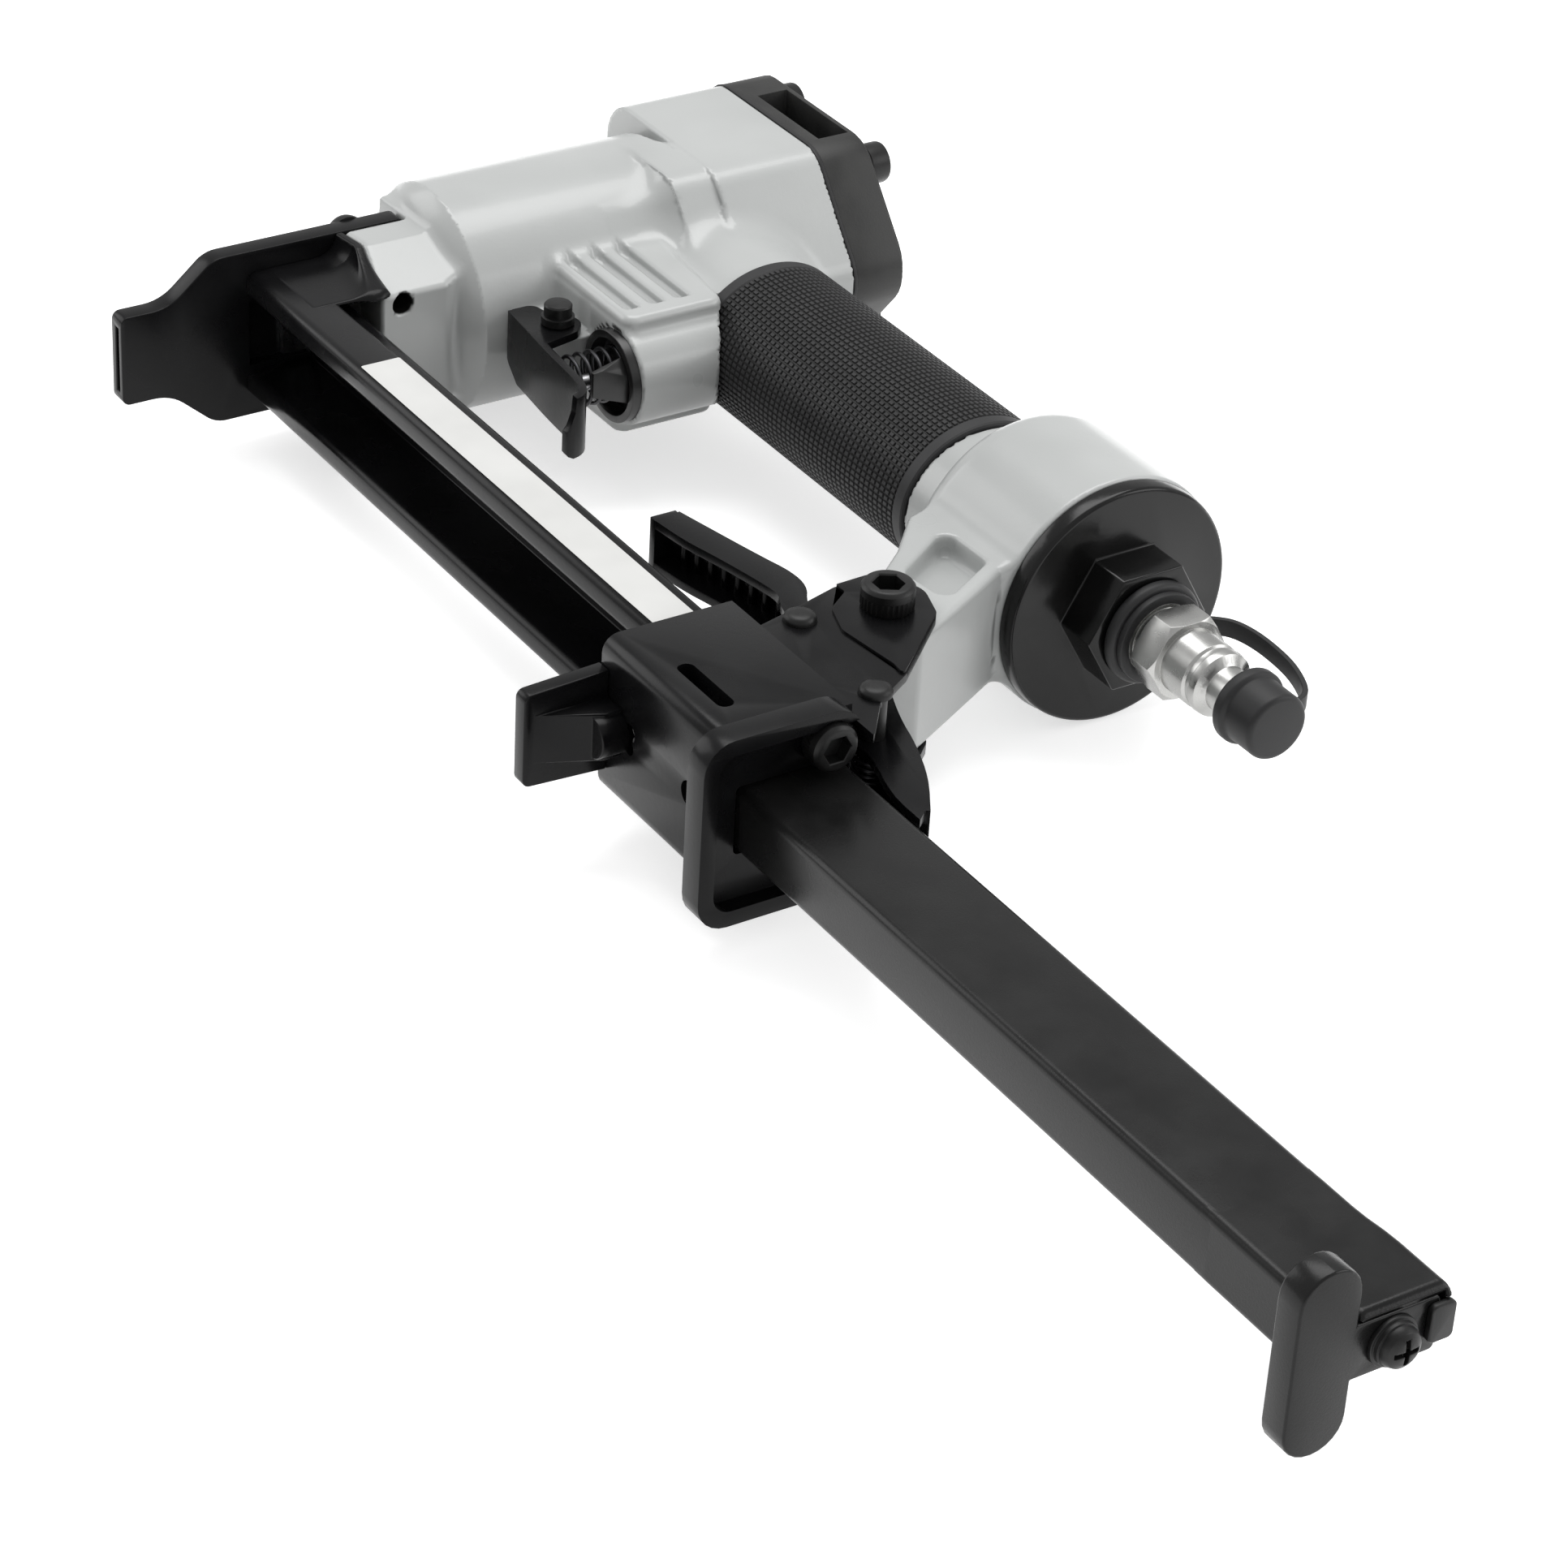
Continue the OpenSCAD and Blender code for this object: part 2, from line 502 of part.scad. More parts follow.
// Wire coils: one unbroken tube from start to end, drawn along its own axis
coil_steps = 8;
coil_sides = 6;
function coil_point(i, n, h, r0, r1) = let(t = i / n, a = 360 * i / coil_steps, r = r0 + (r1 - r0) * t)
  [r * cos(a), r * sin(a), h * t];
function coil_points(n, h, r0, r1, w) = [for (i = [0:n]) let(c = coil_point(i, n, h, r0, r1), a = 360 * i / coil_steps)
  for (k = [0:coil_sides - 1]) c + w / 2 * (cos(k * 360 / coil_sides) * [cos(a), sin(a), 0]
  + sin(k * 360 / coil_sides) * [0, 0, 1])];
function tube_faces(m, s) = concat([for (k = [1:s - 2]) [0, k, k + 1]],
  [for (k = [1:s - 2]) [m * s, m * s + k + 1, m * s + k]],
  [for (i = [0:m - 1]) for (k = [0:s - 1]) each [[i * s + k, (i + 1) * s + k, i * s + (k + 1) % s],
    [i * s + (k + 1) % s, (i + 1) * s + k, (i + 1) * s + (k + 1) % s]]]);
function coil_room(n, h, r0, r1, w) = min([for (i = [0:n - coil_steps / 2]) for (j = [i + coil_steps / 2:n])
  norm(coil_point(i, n, h, r0, r1) - coil_point(j, n, h, r0, r1))]) - w;
module coil(turns, h, r0, r1, w) polyhedron(points = coil_points(turns * coil_steps, h, r0, r1, w),
  faces = tube_faces(turns * coil_steps, coil_sides));

// Return coil between the trigger and the valve cup
return_wire = 0.8;
return_turns = 5.5;
return_x = valve_x - 1.2;
return_y = trig_y - 6.2;
return_h = valve_y + 1.4 - slip - return_wire - return_y;
return_r = 4.7;
echo(return_coil_gap = coil_room(return_turns * coil_steps, return_h, return_r, return_r, return_wire));
module trigger_spring() color("gray") translate([return_x, return_y + return_wire / 2, 0]) rotate([-90, 0, 0])
  coil(return_turns, return_h, return_r, return_r, return_wire);

// Valve cup: its open end stands proud of the boss
module valve_housing() color("black") difference() {
  rod_y(valve_x, 0, valve_d, valve_y - 1.8, valve_top - 0.4);
  rod_y(valve_x, 0, stem_d + 2 * pin_gap, valve_y - 1, handle_y);
  rod_y(valve_x, 0, valve_d - 3, valve_y - 3, valve_y + 1.4);
  rod_y(valve_x, 0, valve_d - 5, valve_y + 7, handle_y);
}

// Guard that stands in the cup in front of the coil and tapers towards the trigger
module valve_guard() color("black") intersection() {
  along_z(-3, 7, [[valve_x + 4.1, valve_y + 1.4], [valve_x + 4.1, valve_y - 8], [valve_x + 5, valve_y - 8],
    [valve_x + 6.8, valve_y - 0.6], [valve_x + 6.8, valve_y + 1.4]]);
  along_x(valve_x + 4, valve_x + 8, [[valve_y + 1.4, -2.6], [valve_y - 1, -2.6], [valve_y - 8, -0.6],
    [valve_y - 8, 4.2], [valve_y - 2, 5.8], [valve_y + 1.4, 6]]);
  rod_y(valve_x, 0, valve_d - 3.2, valve_y - 8, valve_y + 1.4);
}

stem_y = trig_y - 5.7;
module valve_stem() color("silver") {
  rod_y(valve_x, 0, stem_d, stem_y, valve_y + 9);
  rod_y(valve_x, 0, stem_d + 4, valve_y + 8.6, valve_y + 11);
}

module nose_plate() color("black") difference() {
  along_x(-nose_front, nose_back, rounded([[0, -tip_w / 2], [tip_len, -tip_w / 2], [tip_len + 9, -nose_hw],
    [nose_len, -nose_hw], [nose_len, nose_hw], [tip_len + 9, nose_hw], [tip_len, tip_w / 2], [0, tip_w / 2]],
    [1.5, 9, 6, 1.5, 1.5, 6, 9, 1.5]));
  along_y(-1, nose_len + 1, box2(blade_x - blade_gap, blade_x + blade_t + blade_gap,
    -blade_w / 2 - blade_gap, blade_w / 2 + blade_gap));
  // Window where the staples come in
  along_x(blade_x, nose_back + 1, box2(mag_y + 0.6, mag_back - 0.4, -blade_w / 2 - blade_gap, blade_w / 2 + blade_gap));
  both() rod_x(nose_screw_y, 13.2, 4.1, -nose_front - 1, nose_back + 1);
  // Notches at the end that locate it on the casting
  both() along_x(-nose_front - 1, nose_back + 1, box2(nose_len - 2, nose_len + 1, 7, 9.6));
}

module nose_screws() color("black") both() {
  rod_x(nose_screw_y, 13.2, 4, -nose_front - 0.1, 8);
  difference() {
    turned_x(nose_screw_y, 13.2, [[0, -nose_front - 2.9], [2.4, -nose_front - 2.8], [3.5, -nose_front - 1.9],
      [3.8, -nose_front - 0.9], [3.8, -nose_front], [0, -nose_front]]);
    along_x(-nose_front - 4, -nose_front - 1.2, box2(nose_screw_y - 0.4, nose_screw_y + 0.4, 10, 16));
    along_x(-nose_front - 4, -nose_front - 1.2, box2(nose_screw_y - 3, nose_screw_y + 3, 12.8, 13.6));
  }
}

mag_profile = rounded([[mag_y, -mag_out / 2], [lip_y, -mag_out / 2], [lip_y, -back_hw],
  [mag_back + mag_sheet, -back_hw], [mag_back + mag_sheet, back_hw], [lip_y, back_hw], [lip_y, mag_out / 2],
  [mag_y, mag_out / 2], [mag_y, mag_in / 2], [mag_back, mag_in / 2], [mag_back, -mag_in / 2], [mag_y, -mag_in / 2]],
  [2, 1, 0.6, 1.6, 1.6, 0.6, 1, 2, 1.6, 0.4, 0.4, 1.6]);
module fixed_magazine() color("black") along_x(nose_back, mag_end, mag_profile);

cheek_in = mag_out / 2;
module magazine_cheeks() color("black") both() along_z(cheek_in, cheek_in + 1.3, rounded([[nose_back, mag_y + 2],
  [5, mag_y + 2], [31.4, lip_y - 0.6], [31.4, lip_y + 0.4], [16.5, 42.2], [4, 45.3], [nose_back, 44.6]],
  [0, 3, 0, 0, 12, 6, 0]));

module rear_bracket() color("black") difference() {
  union() {
    difference() {
      along_x(brk_x, collar_x, rounded([[brk_y, -brk_out], [39.6, -brk_out], [39.6, -brk_in], [39.6, brk_in],
        [39.6, brk_out], [brk_y, brk_out]], [3, 0, 0, 0, 0, 3]));
      along_x(brk_x - 1, collar_x + 1, rounded([[brk_y + brk_t, -brk_in], [50, -brk_in], [50, brk_in],
        [brk_y + brk_t, brk_in]], [1.5, 0, 0, 1.5]));
    }
    // Tapped end block above and below the slide
    both() along_x(mag_end + slip, collar_x, box2(brk_y + brk_t - 0.1, 35.2, rail_w / 2 + rail_gap, brk_in + 0.1));
    // Stop lugs that keep the magazine from shifting
    both() along_x(brk_x + 6, mag_end + slip + 0.1, box2(brk_y + brk_t - 0.1, mag_y, 9, brk_in + 0.1));
  }
  // Slots in the cheeks and holes in the foot face
  both() along_z(brk_in - 4, brk_out + 1, rounded(box2(brk_x + 13.2, brk_x + 27.4, brk_y + 5.2, brk_y + 8.2), 1.4));
  rod_y(150.6, -1.5, 2.6, brk_y - 1, brk_y + brk_t + 0.2);
  rod_y(150.6, 1.2, 3.2, brk_y - 1, brk_y + brk_t + 0.2);
  rod_y(168.6, 0, 4.4, brk_y - 1, brk_y + brk_t + 0.2);
  rod_x(33, 11, 4.1, mag_end, collar_x + 1);
}

collar_y = 9.6;
module rear_collar() color("black") difference() {
  union() {
    along_x(collar_x, collar_x + collar_t, rounded(box2(collar_y, collar_y + collar_h, -collar_w / 2, collar_w / 2), 5.5));
    difference() {
      along_x(collar_x + collar_t - 0.1, collar_x + collar_t + rim_d,
        rounded(box2(collar_y, collar_y + collar_h, -collar_w / 2, collar_w / 2), 5.5));
      along_x(collar_x, collar_x + collar_t + rim_d + 1, rounded(box2(collar_y + 2.8, collar_y + collar_h + 4,
        -collar_w / 2 + 2.8, collar_w / 2 - 2.8), [3.5, 0, 0, 3.5]));
    }
  }
  along_x(collar_x - 1, collar_x + 10, rounded(box2(rail_y - rail_gap, rail_top + flare_h + rail_gap,
    -rail_w / 2 - rail_gap, rail_w / 2 + rail_gap), 1));
  rod_x(33, 11, 4.1, collar_x - 1, collar_x + 10);
  rod_x(33, 11, 8.8, collar_x + collar_t, collar_x + 10);
}

module collar_screw() color("dimgray") difference() {
  union() {
    rod_x(33, 11, 4, collar_x - 6, collar_x + collar_t + 0.1);
    rod_x(33, 11, 8.2, collar_x + collar_t, collar_x + collar_t + 4.6);
  }
  hex_x(33, 11, 4, collar_x + collar_t + 2.2, collar_x + 20);
}

plate_outline = rounded(shifted([[8, 20.2], [5.3, 30.7], [1.9, 42.6], [1.6, 50.4], [9.6, 55.1], [17.2, 52.6],
  [30.1, 38.2], [35, 30], [43.2, 23.4], [43.2, 20.2]], brk_x, brk_y), [0, 6, 0.6, 3, 5, 3, 4, 3, 1.5, 0]);
plate_layer = rounded(shifted([[1.9, 43], [4.6, 43], [8, 38.2], [14.6, 36], [27.3, 37.6], [30.6, 37.2], [17.2, 52.6],
  [9.6, 55.1], [1.6, 50.4]], brk_x, brk_y), [0.3, 1, 2.5, 4, 4, 0.5, 3, 5, 3]);
module latch_plates() color("black") both() difference() {
  union() {
    along_z(plate_in, brk_in, plate_outline);
    along_z(brk_in - 0.1, brk_in + 0.5, plate_layer);
  }
  rod_z(bolt_x, bolt_y, bolt_d + 2 * pin_gap, 0, 20);
  rod_z(rivet_x, rivet_y, rivet_d + 2 * pin_gap, 0, 20);
  rod_z(pivot_x, pivot_y, rivet_d + 2 * pin_gap, 0, 20);
  along_z(0, 20, box2(mag_end - 1, 190, 30, collar_y + collar_h + 0.2));
}

module latch_rivets() color("dimgray") {
  rod_z(rivet_x, rivet_y, rivet_d, -brk_in - 0.6, brk_in + 0.6);
  rod_z(pivot_x, pivot_y, rivet_d, -brk_in - 0.6, brk_in + 0.6);
  both() {
    rod_z(rivet_x, rivet_y, rivet_d + 1.6, brk_in, brk_in + 1.6);
    rod_z(pivot_x, pivot_y, rivet_d + 1.6, brk_in, brk_in + 1.6);
  }
}

module cross_bolt() color("dimgray") {
  rod_z(bolt_x, bolt_y, bolt_d, -brk_in - 3, brk_in + 0.6);
  difference() {
    rod_z(bolt_x, bolt_y, bolt_d + 3, brk_in + 0.5, brk_in + 5);
    translate([bolt_x, bolt_y, brk_in + 2.4]) cylinder(d = 4.8, h = 5, $fn = 6);
  }
  translate([bolt_x, bolt_y, -brk_in - 4]) cylinder(d = 11, h = 3.5, $fn = 6);
}

// Latch lever: a stamped channel, open towards the slide. Its web bulges at the finger pad, runs between the
// plates over the pivot and falls to the tail; the flanges carry the pivot.
lever_back = shifted([[-75.6, 9.6], [-65.5, 11.8], [-56, 13.9], [-49.6, 15.6], [-44.6, 15.4], [-40.4, 12.6], [-35, 10.6],
  [-22, 10.4], [-12, 10], [-2.8, 6.1], [5.2, 3.9], [14.3, 0.2], [22.2, -4.8]], pivot_x, pivot_y);
lever_near = shifted([[24, -7], [16, -7], [5.4, -3.6], [1.4, -4], [-1.4, -4], [-4.4, -1], [-8, 4.6], [-16, 6.6], [-25, 7.4],
  [-34, 7.2], [-41, 8.6], [-44.1, 10.6], [-50.7, 9.6], [-59.5, 7.8], [-67, 5.9], [-75.6, 5]], pivot_x, pivot_y);
module latch_lever() color("black") {
  difference() {
    union() {
      along_z(-lever_w / 2, lever_w / 2, strip(smooth(lever_back, 2), lever_t));
      both() along_z(lever_w / 2 - lever_t, lever_w / 2, concat(smooth(lever_back, 2), smooth(lever_near, 2)));
      // End wall and ribs of the finger pad
      along_z(-lever_w / 2, lever_w / 2, box2(pivot_x - 76.4, pivot_x - 74.8, pivot_y + 5, pivot_y + 10));
      for (i = [0:7]) rod_z(pivot_x - 71.6 + i * 3.2, pivot_y + 9.2 + i * 0.71, 1.4, -lever_w / 2 + 0.4, lever_w / 2 - 0.4);
    }
    rod_z(pivot_x, pivot_y, rivet_d + 2 * pin_gap, -20, 20);
    along_z(-2.4, 2.4, box2(pivot_x + 20.6, pivot_x + 26, pivot_y - 10, pivot_y - 4.4));
  }
}

// Torsion coil round the latch pivot
torsion_wire = 0.7;
echo(torsion_coil_gap = coil_room(4 * coil_steps, 4.8, 3.1, 3.1, torsion_wire));
module latch_spring() color("gray") translate([pivot_x, pivot_y, -2.4]) coil(4, 4.8, 3.1, 3.1, torsion_wire);

module foot() color("black") {
  along_x(foot_x, foot_x + foot_t, rounded([[0, -foot_w / 2], [brk_y, -foot_w / 2 - 0.8], [brk_y, foot_w / 2 + 0.8],
    [0, foot_w / 2]], [1.4, 0, 0, 1.4]));
  // Tapered rib and the boss that seats on the bracket
  along_z(-4.4, 4.4, [[foot_x + foot_t - 0.1, 1.6], [foot_x + foot_t + 4.4, brk_y - 3], [foot_x + foot_t + 4.4, brk_y],
    [foot_x + foot_t - 0.1, brk_y]]);
  rod_y(foot_x + foot_t + 3.4, 0, 7.4, brk_y - 5, brk_y);
}

module slide_rail() color("black") {
  difference() {
    union() {
      along_x(rail_x, tab_x, rounded(box2(rail_y, rail_top, -rail_w / 2, rail_w / 2), 1.6));
      // Flared rear end
      along_z(-rail_w / 2 + 0.1, rail_w / 2 - 0.1, [[tab_x - 14, rail_top - 2], [tab_x, rail_top - 2],
        [tab_x, rail_top + flare_h], [tab_x - 9, rail_top + flare_h], [tab_x - 14, rail_top]]);
    }
    along_x(rail_x - 1, tab_x + 1, rounded(box2(rail_y + rail_wall, rail_top - rail_wall,
      -rail_w / 2 + rail_wall, rail_w / 2 - rail_wall), 0.8));
    // Slot for the pusher foot
    along_y(rail_top - 3, rail_top + 1, box2(rail_x - 1, rail_x + 30, -2.2, 2.2));
  }
  // Upper and far walls, which reach over the tab's arm, and the lip bent down in front of it
  along_x(tab_x - 0.3, rail_end, [[22.4, rail_w / 2 - 1.1], [rail_top - 0.9, rail_w / 2 - 1.1], [rail_top - 0.9, -3],
    [rail_top + flare_h - 0.05, -3], [rail_top + flare_h - 0.05, rail_w / 2 - 0.05], [22.4, rail_w / 2 - 0.05]]);
  along_x(rail_end - 0.2, rail_end + 1.1, box2(22.9, rail_top + flare_h - 0.6, rail_w / 2 - 1, rail_w / 2 - 0.15));
  along_x(rail_end + 0.05, rail_end + 1.05, [[23.3, 5.2], [24.8, 4.3], [33, 4.2], [36.2, 5.2]]);
}

module pull_tab() color("black") difference() {
  union() {
    along_x(tab_x, rail_end, rounded(box2(11.4, 11.4 + tab_w, -tab_l / 2, tab_l / 2), tab_w / 2 - 0.05));
    along_x(tab_x, rail_end, rounded([[16, -4.8], [36.3, -4.8], [36.3, 4.6], [16, 4.6]], [0, 1, 1, 0]));
  }
  rod_x(tab_screw_y, 0, 3.6, tab_x - 1, rail_end + 1);
}

module slide_catch() color("dimgray") along_x(rail_end, rail_end + 1.2, rounded(box2(34, rail_top + 1, -2.6, 3.8), 1));

module slide_screw() color("black") {
  rod_x(tab_screw_y, 0, 3.5, tab_x + 0.4, rail_end + 0.1);
  rod_x(tab_screw_y, 0, 8.2, rail_end, rail_end + 0.7);
  rod_x(tab_screw_y, 0, 7.2, rail_end + 0.6, rail_end + 1.5);
  difference() {
    turned_x(tab_screw_y, 0, [[0, rail_end + 1.4], [3.3, rail_end + 1.4], [3.3, rail_end + 2], [2.9, rail_end + 2.9],
      [1.9, rail_end + 3.5], [0, rail_end + 3.7]]);
    along_x(rail_end + 2.3, rail_end + 5, box2(tab_screw_y - 0.4, tab_screw_y + 0.4, -2.1, 2.1));
    along_x(rail_end + 2.3, rail_end + 5, box2(tab_screw_y - 2.1, tab_screw_y + 2.1, -0.4, 0.4));
  }
}

module pusher() color("silver") difference() {
  along_x(rail_x + 4, rail_x + 22, box2(rail_y + rail_wall + slip, rail_top - rail_wall - slip,
    -rail_w / 2 + rail_wall + slip, rail_w / 2 - rail_wall - slip));
  rod_x(tab_screw_y, 0, 4.4, rail_x + 3, rail_x + 23);
}

module pusher_rod() color("gray") rod_x(tab_screw_y, 0, 3.6, rail_x + 2, tab_x + 0.3);

module label_sticker() color("white") along_z(mag_out / 2, mag_out / 2 + 0.12, rounded(box2(40, 140.5, mag_y + 1.2,
  lip_y - 0.5), 0.4));

placed() body_casting();
placed() cylinder_cap();
placed() cap_gasket();
placed() cap_screws();
placed() cylinder_sleeve();
placed() bumper();
placed() piston();
placed() piston_ring();
placed() driver_blade();
placed() grip_sleeve();
placed() end_cap();
placed() end_cap_ring();
placed() air_nipple();
placed() dust_cap();
placed() cap_strap();
placed() strap_ring();
placed() trigger();
placed() trigger_pin();
placed() trigger_spring();
placed() valve_housing();
placed() valve_guard();
placed() valve_stem();
placed() nose_plate();
placed() nose_screws();
placed() fixed_magazine();
placed() magazine_cheeks();
placed() rear_bracket();
placed() rear_collar();
placed() collar_screw();
placed() latch_plates();
placed() latch_rivets();
placed() cross_bolt();
placed() latch_lever();
placed() latch_spring();
placed() foot();
placed() slide_rail();
placed() pull_tab();
placed() slide_catch();
placed() slide_screw();
placed() pusher();
placed() pusher_rod();
placed() label_sticker();
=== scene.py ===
import math
import bmesh
import bpy
import numpy as np
from mathutils import Matrix, Vector


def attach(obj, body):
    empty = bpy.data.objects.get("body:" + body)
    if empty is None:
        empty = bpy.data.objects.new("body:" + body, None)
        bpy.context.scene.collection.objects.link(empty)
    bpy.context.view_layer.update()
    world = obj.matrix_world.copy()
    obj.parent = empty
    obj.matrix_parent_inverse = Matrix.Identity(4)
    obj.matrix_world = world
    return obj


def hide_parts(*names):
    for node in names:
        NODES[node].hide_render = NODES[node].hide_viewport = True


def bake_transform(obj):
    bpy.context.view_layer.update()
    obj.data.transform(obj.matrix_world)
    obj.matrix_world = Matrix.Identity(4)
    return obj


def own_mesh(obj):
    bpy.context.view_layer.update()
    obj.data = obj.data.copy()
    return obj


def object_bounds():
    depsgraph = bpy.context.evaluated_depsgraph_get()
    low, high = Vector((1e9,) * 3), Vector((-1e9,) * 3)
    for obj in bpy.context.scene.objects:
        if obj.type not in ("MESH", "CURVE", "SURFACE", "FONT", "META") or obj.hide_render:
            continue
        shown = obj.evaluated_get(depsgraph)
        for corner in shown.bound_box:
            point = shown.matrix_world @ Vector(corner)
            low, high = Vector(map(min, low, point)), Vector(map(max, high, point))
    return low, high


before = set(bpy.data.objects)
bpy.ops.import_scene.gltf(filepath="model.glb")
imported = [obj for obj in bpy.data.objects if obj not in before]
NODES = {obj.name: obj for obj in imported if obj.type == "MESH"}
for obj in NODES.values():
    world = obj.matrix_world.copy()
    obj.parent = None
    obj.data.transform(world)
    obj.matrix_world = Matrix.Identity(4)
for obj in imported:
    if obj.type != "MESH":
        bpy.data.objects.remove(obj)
cad_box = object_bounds()

# The camera stands where the photograph was taken from: three quarters of a metre from the tool, above
# the slide's pull tab, with a lens of about 109 mm on a 36 mm wide frame.
camera_data = bpy.data.cameras.new("studio_camera")
camera_data.sensor_width = 36
camera_data.lens = 108.66
camera_data.clip_start = 0.02
camera = bpy.data.objects.new("studio_camera", camera_data)
bpy.context.scene.collection.objects.link(camera)
eye = Vector((0.69381, -0.32282, 0.39861))
look_right = Vector((0.53524, 0.84319, 0.05053))
look_down = Vector((0.47622, -0.25181, -0.84250))
look_ahead = Vector((-0.69766, 0.47500, -0.53632))
camera.matrix_world = Matrix((
    (look_right.x, -look_down.x, -look_ahead.x, eye.x),
    (look_right.y, -look_down.y, -look_ahead.y, eye.y),
    (look_right.z, -look_down.z, -look_ahead.z, eye.z),
    (0, 0, 0, 1)))
bpy.context.scene.camera = camera
bpy.context.scene.view_settings.view_transform = "Standard"


# The studio: a plain white table that the tool lies on, a pale room, and three large soft lamps: above the
# barrel, behind the handle and at the left. The table looks white to the camera and keeps the soft shadow.
def linear(hex_colour):
    """An sRGB hex colour as linear red, green, blue and alpha."""
    parts = [int(hex_colour[i:i + 2], 16) / 255 for i in (1, 3, 5)]
    return [c / 12.92 if c <= 0.04045 else ((c + 0.055) / 1.055) ** 2.4 for c in parts] + [1.0]


def add(tree, kind, inputs=None, **settings):
    """Adds one node; an input is a number, a colour, or another node's output to link."""
    made = tree.nodes.new(kind)
    for name, value in settings.items():
        setattr(made, name, value)
    for name, value in (inputs or {}).items():
        if isinstance(value, bpy.types.NodeSocket):
            tree.links.new(value, made.inputs[name])
        else:
            made.inputs[name].default_value = value
    return made


table_half, table_gap = 6, 0.0002
table_z = cad_box[0][2] - table_gap
table_mesh = bpy.data.meshes.new("white_table")
table_corners = ((-1, -1), (1, -1), (1, 1), (-1, 1))
table_mesh.from_pydata([(table_half * i, table_half * j, table_z) for i, j in table_corners],
                       [], [(0, 1, 2, 3)])
table = bpy.data.objects.new("white_table", table_mesh)
bpy.context.scene.collection.objects.link(table)
white_table = bpy.data.materials.new("white_table")
white_table.use_nodes = True
tree = white_table.node_tree
tree.nodes.clear()
path = add(tree, "ShaderNodeLightPath")
seen = add(tree, "ShaderNodeMath", {0: path.outputs["Is Camera Ray"], 1: path.outputs["Is Glossy Ray"]},
           operation="MAXIMUM")
seen = add(tree, "ShaderNodeMath", {0: seen.outputs[0], 1: path.outputs["Is Transmission Ray"]},
           operation="MAXIMUM")
card = add(tree, "ShaderNodeBsdfDiffuse", {"Color": linear("#EBEBEB")})
lift = add(tree, "ShaderNodeEmission", {"Color": (1, 1, 1, 1), "Strength": 0.62})
none = add(tree, "ShaderNodeEmission", {"Strength": 0.0})
pick = add(tree, "ShaderNodeMixShader", {0: seen.outputs[0], 1: none.outputs[0], 2: lift.outputs[0]})
both = add(tree, "ShaderNodeAddShader", {0: card.outputs[0], 1: pick.outputs[0]})
add(tree, "ShaderNodeOutputMaterial", {"Surface": both.outputs[0]})
table_mesh.materials.append(white_table)

world = bpy.data.worlds.new("pale_room")
bpy.context.scene.world = world
world.use_nodes = True
tree = world.node_tree
tree.nodes.clear()
room = add(tree, "ShaderNodeBackground", {"Color": (1, 1, 1, 1), "Strength": 0.64})
add(tree, "ShaderNodeOutputWorld", {"Surface": room.outputs[0]})

for name, place, aim, size, power in (
        ("lamp_above", (-0.15, 0.25, 1.0), (0.1, 0.07, 0), (0.9, 0.6), 7.2),
        ("lamp_behind", (0.75, 0.95, 0.55), (0.15, 0.07, 0), (0.8, 0.5), 3.6),
        ("lamp_left", (-0.8, -0.5, 0.5), (0.1, 0.05, 0), (0.6, 0.6), 2.4)):
    lamp_data = bpy.data.lights.new(name, "AREA")
    lamp_data.shape = "RECTANGLE"
    lamp_data.size, lamp_data.size_y = size
    lamp_data.energy = power
    lamp = bpy.data.objects.new(name, lamp_data)
    bpy.context.scene.collection.objects.link(lamp)
    lamp.location = place
    lamp.rotation_euler = (Vector(aim) - Vector(place)).to_track_quat("-Z", "Y").to_euler()


# The body is one die casting in aluminium: nose block, barrel, square head, valve boss, handle, rear cup
# and the arm down to the magazine, all run into each other with cast fillets, then powder coated grey.
# Each form is worked out as a distance in millimetres from its surface, and skinned where that is nil.
AXIS = 2.1  # the barrel's axis lies this far from the frame's origin; forms are measured from the axis
HANDLE = 110.0  # height of the handle's axis


def outline(px, py, corners):
    """Signed distance from a closed line of corners, less than nil inside."""
    best = np.full(np.broadcast(px, py).shape, 1e9)
    inside = np.zeros(best.shape, bool)
    for (ax, ay), (bx, by) in zip(corners, corners[1:] + corners[:1]):
        ex, ey = bx - ax, by - ay
        along = np.clip(((px - ax) * ex + (py - ay) * ey) / (ex * ex + ey * ey), 0, 1)
        best = np.minimum(best, (px - ax - along * ex) ** 2 + (py - ay - along * ey) ** 2)
        if ey:
            inside ^= ((ay > py) != (by > py)) & (px < ax + (py - ay) * ex / ey)
    return np.where(inside, -np.sqrt(best), np.sqrt(best))


def drawn_in(corners, inset):
    """The corners of a closed line, moved inwards by that much; the line runs anticlockwise."""
    moved = []
    for k in range(len(corners)):
        (ax, ay), (bx, by), (cx, cy) = corners[k - 1], corners[k], corners[(k + 1) % len(corners)]
        n1 = np.array([ay - by, bx - ax]) / math.hypot(bx - ax, by - ay)
        n2 = np.array([by - cy, cx - bx]) / math.hypot(cx - bx, cy - by)
        moved.append(tuple(np.array([bx, by]) + np.linalg.solve(np.array([n1, n2]), [inset, inset])))
    return moved


def within(v, low, high):
    """How far v lies outside the span from low to high, less than nil inside it."""
    return np.abs(v - (low + high) / 2) - (high - low) / 2


def bar(across, along, edge):
    """A solid from the distances across and along it, with its edges rounded by that radius."""
    a, b = across + edge, along + edge
    return np.minimum(np.maximum(a, b), 0) + np.hypot(np.maximum(a, 0), np.maximum(b, 0)) - edge


def joined(a, b, fillet):
    """Two forms in one, with a fillet where they meet."""
    h = np.maximum(fillet - np.abs(a - b), 0) / fillet
    return np.minimum(a, b) - h * h * fillet / 4


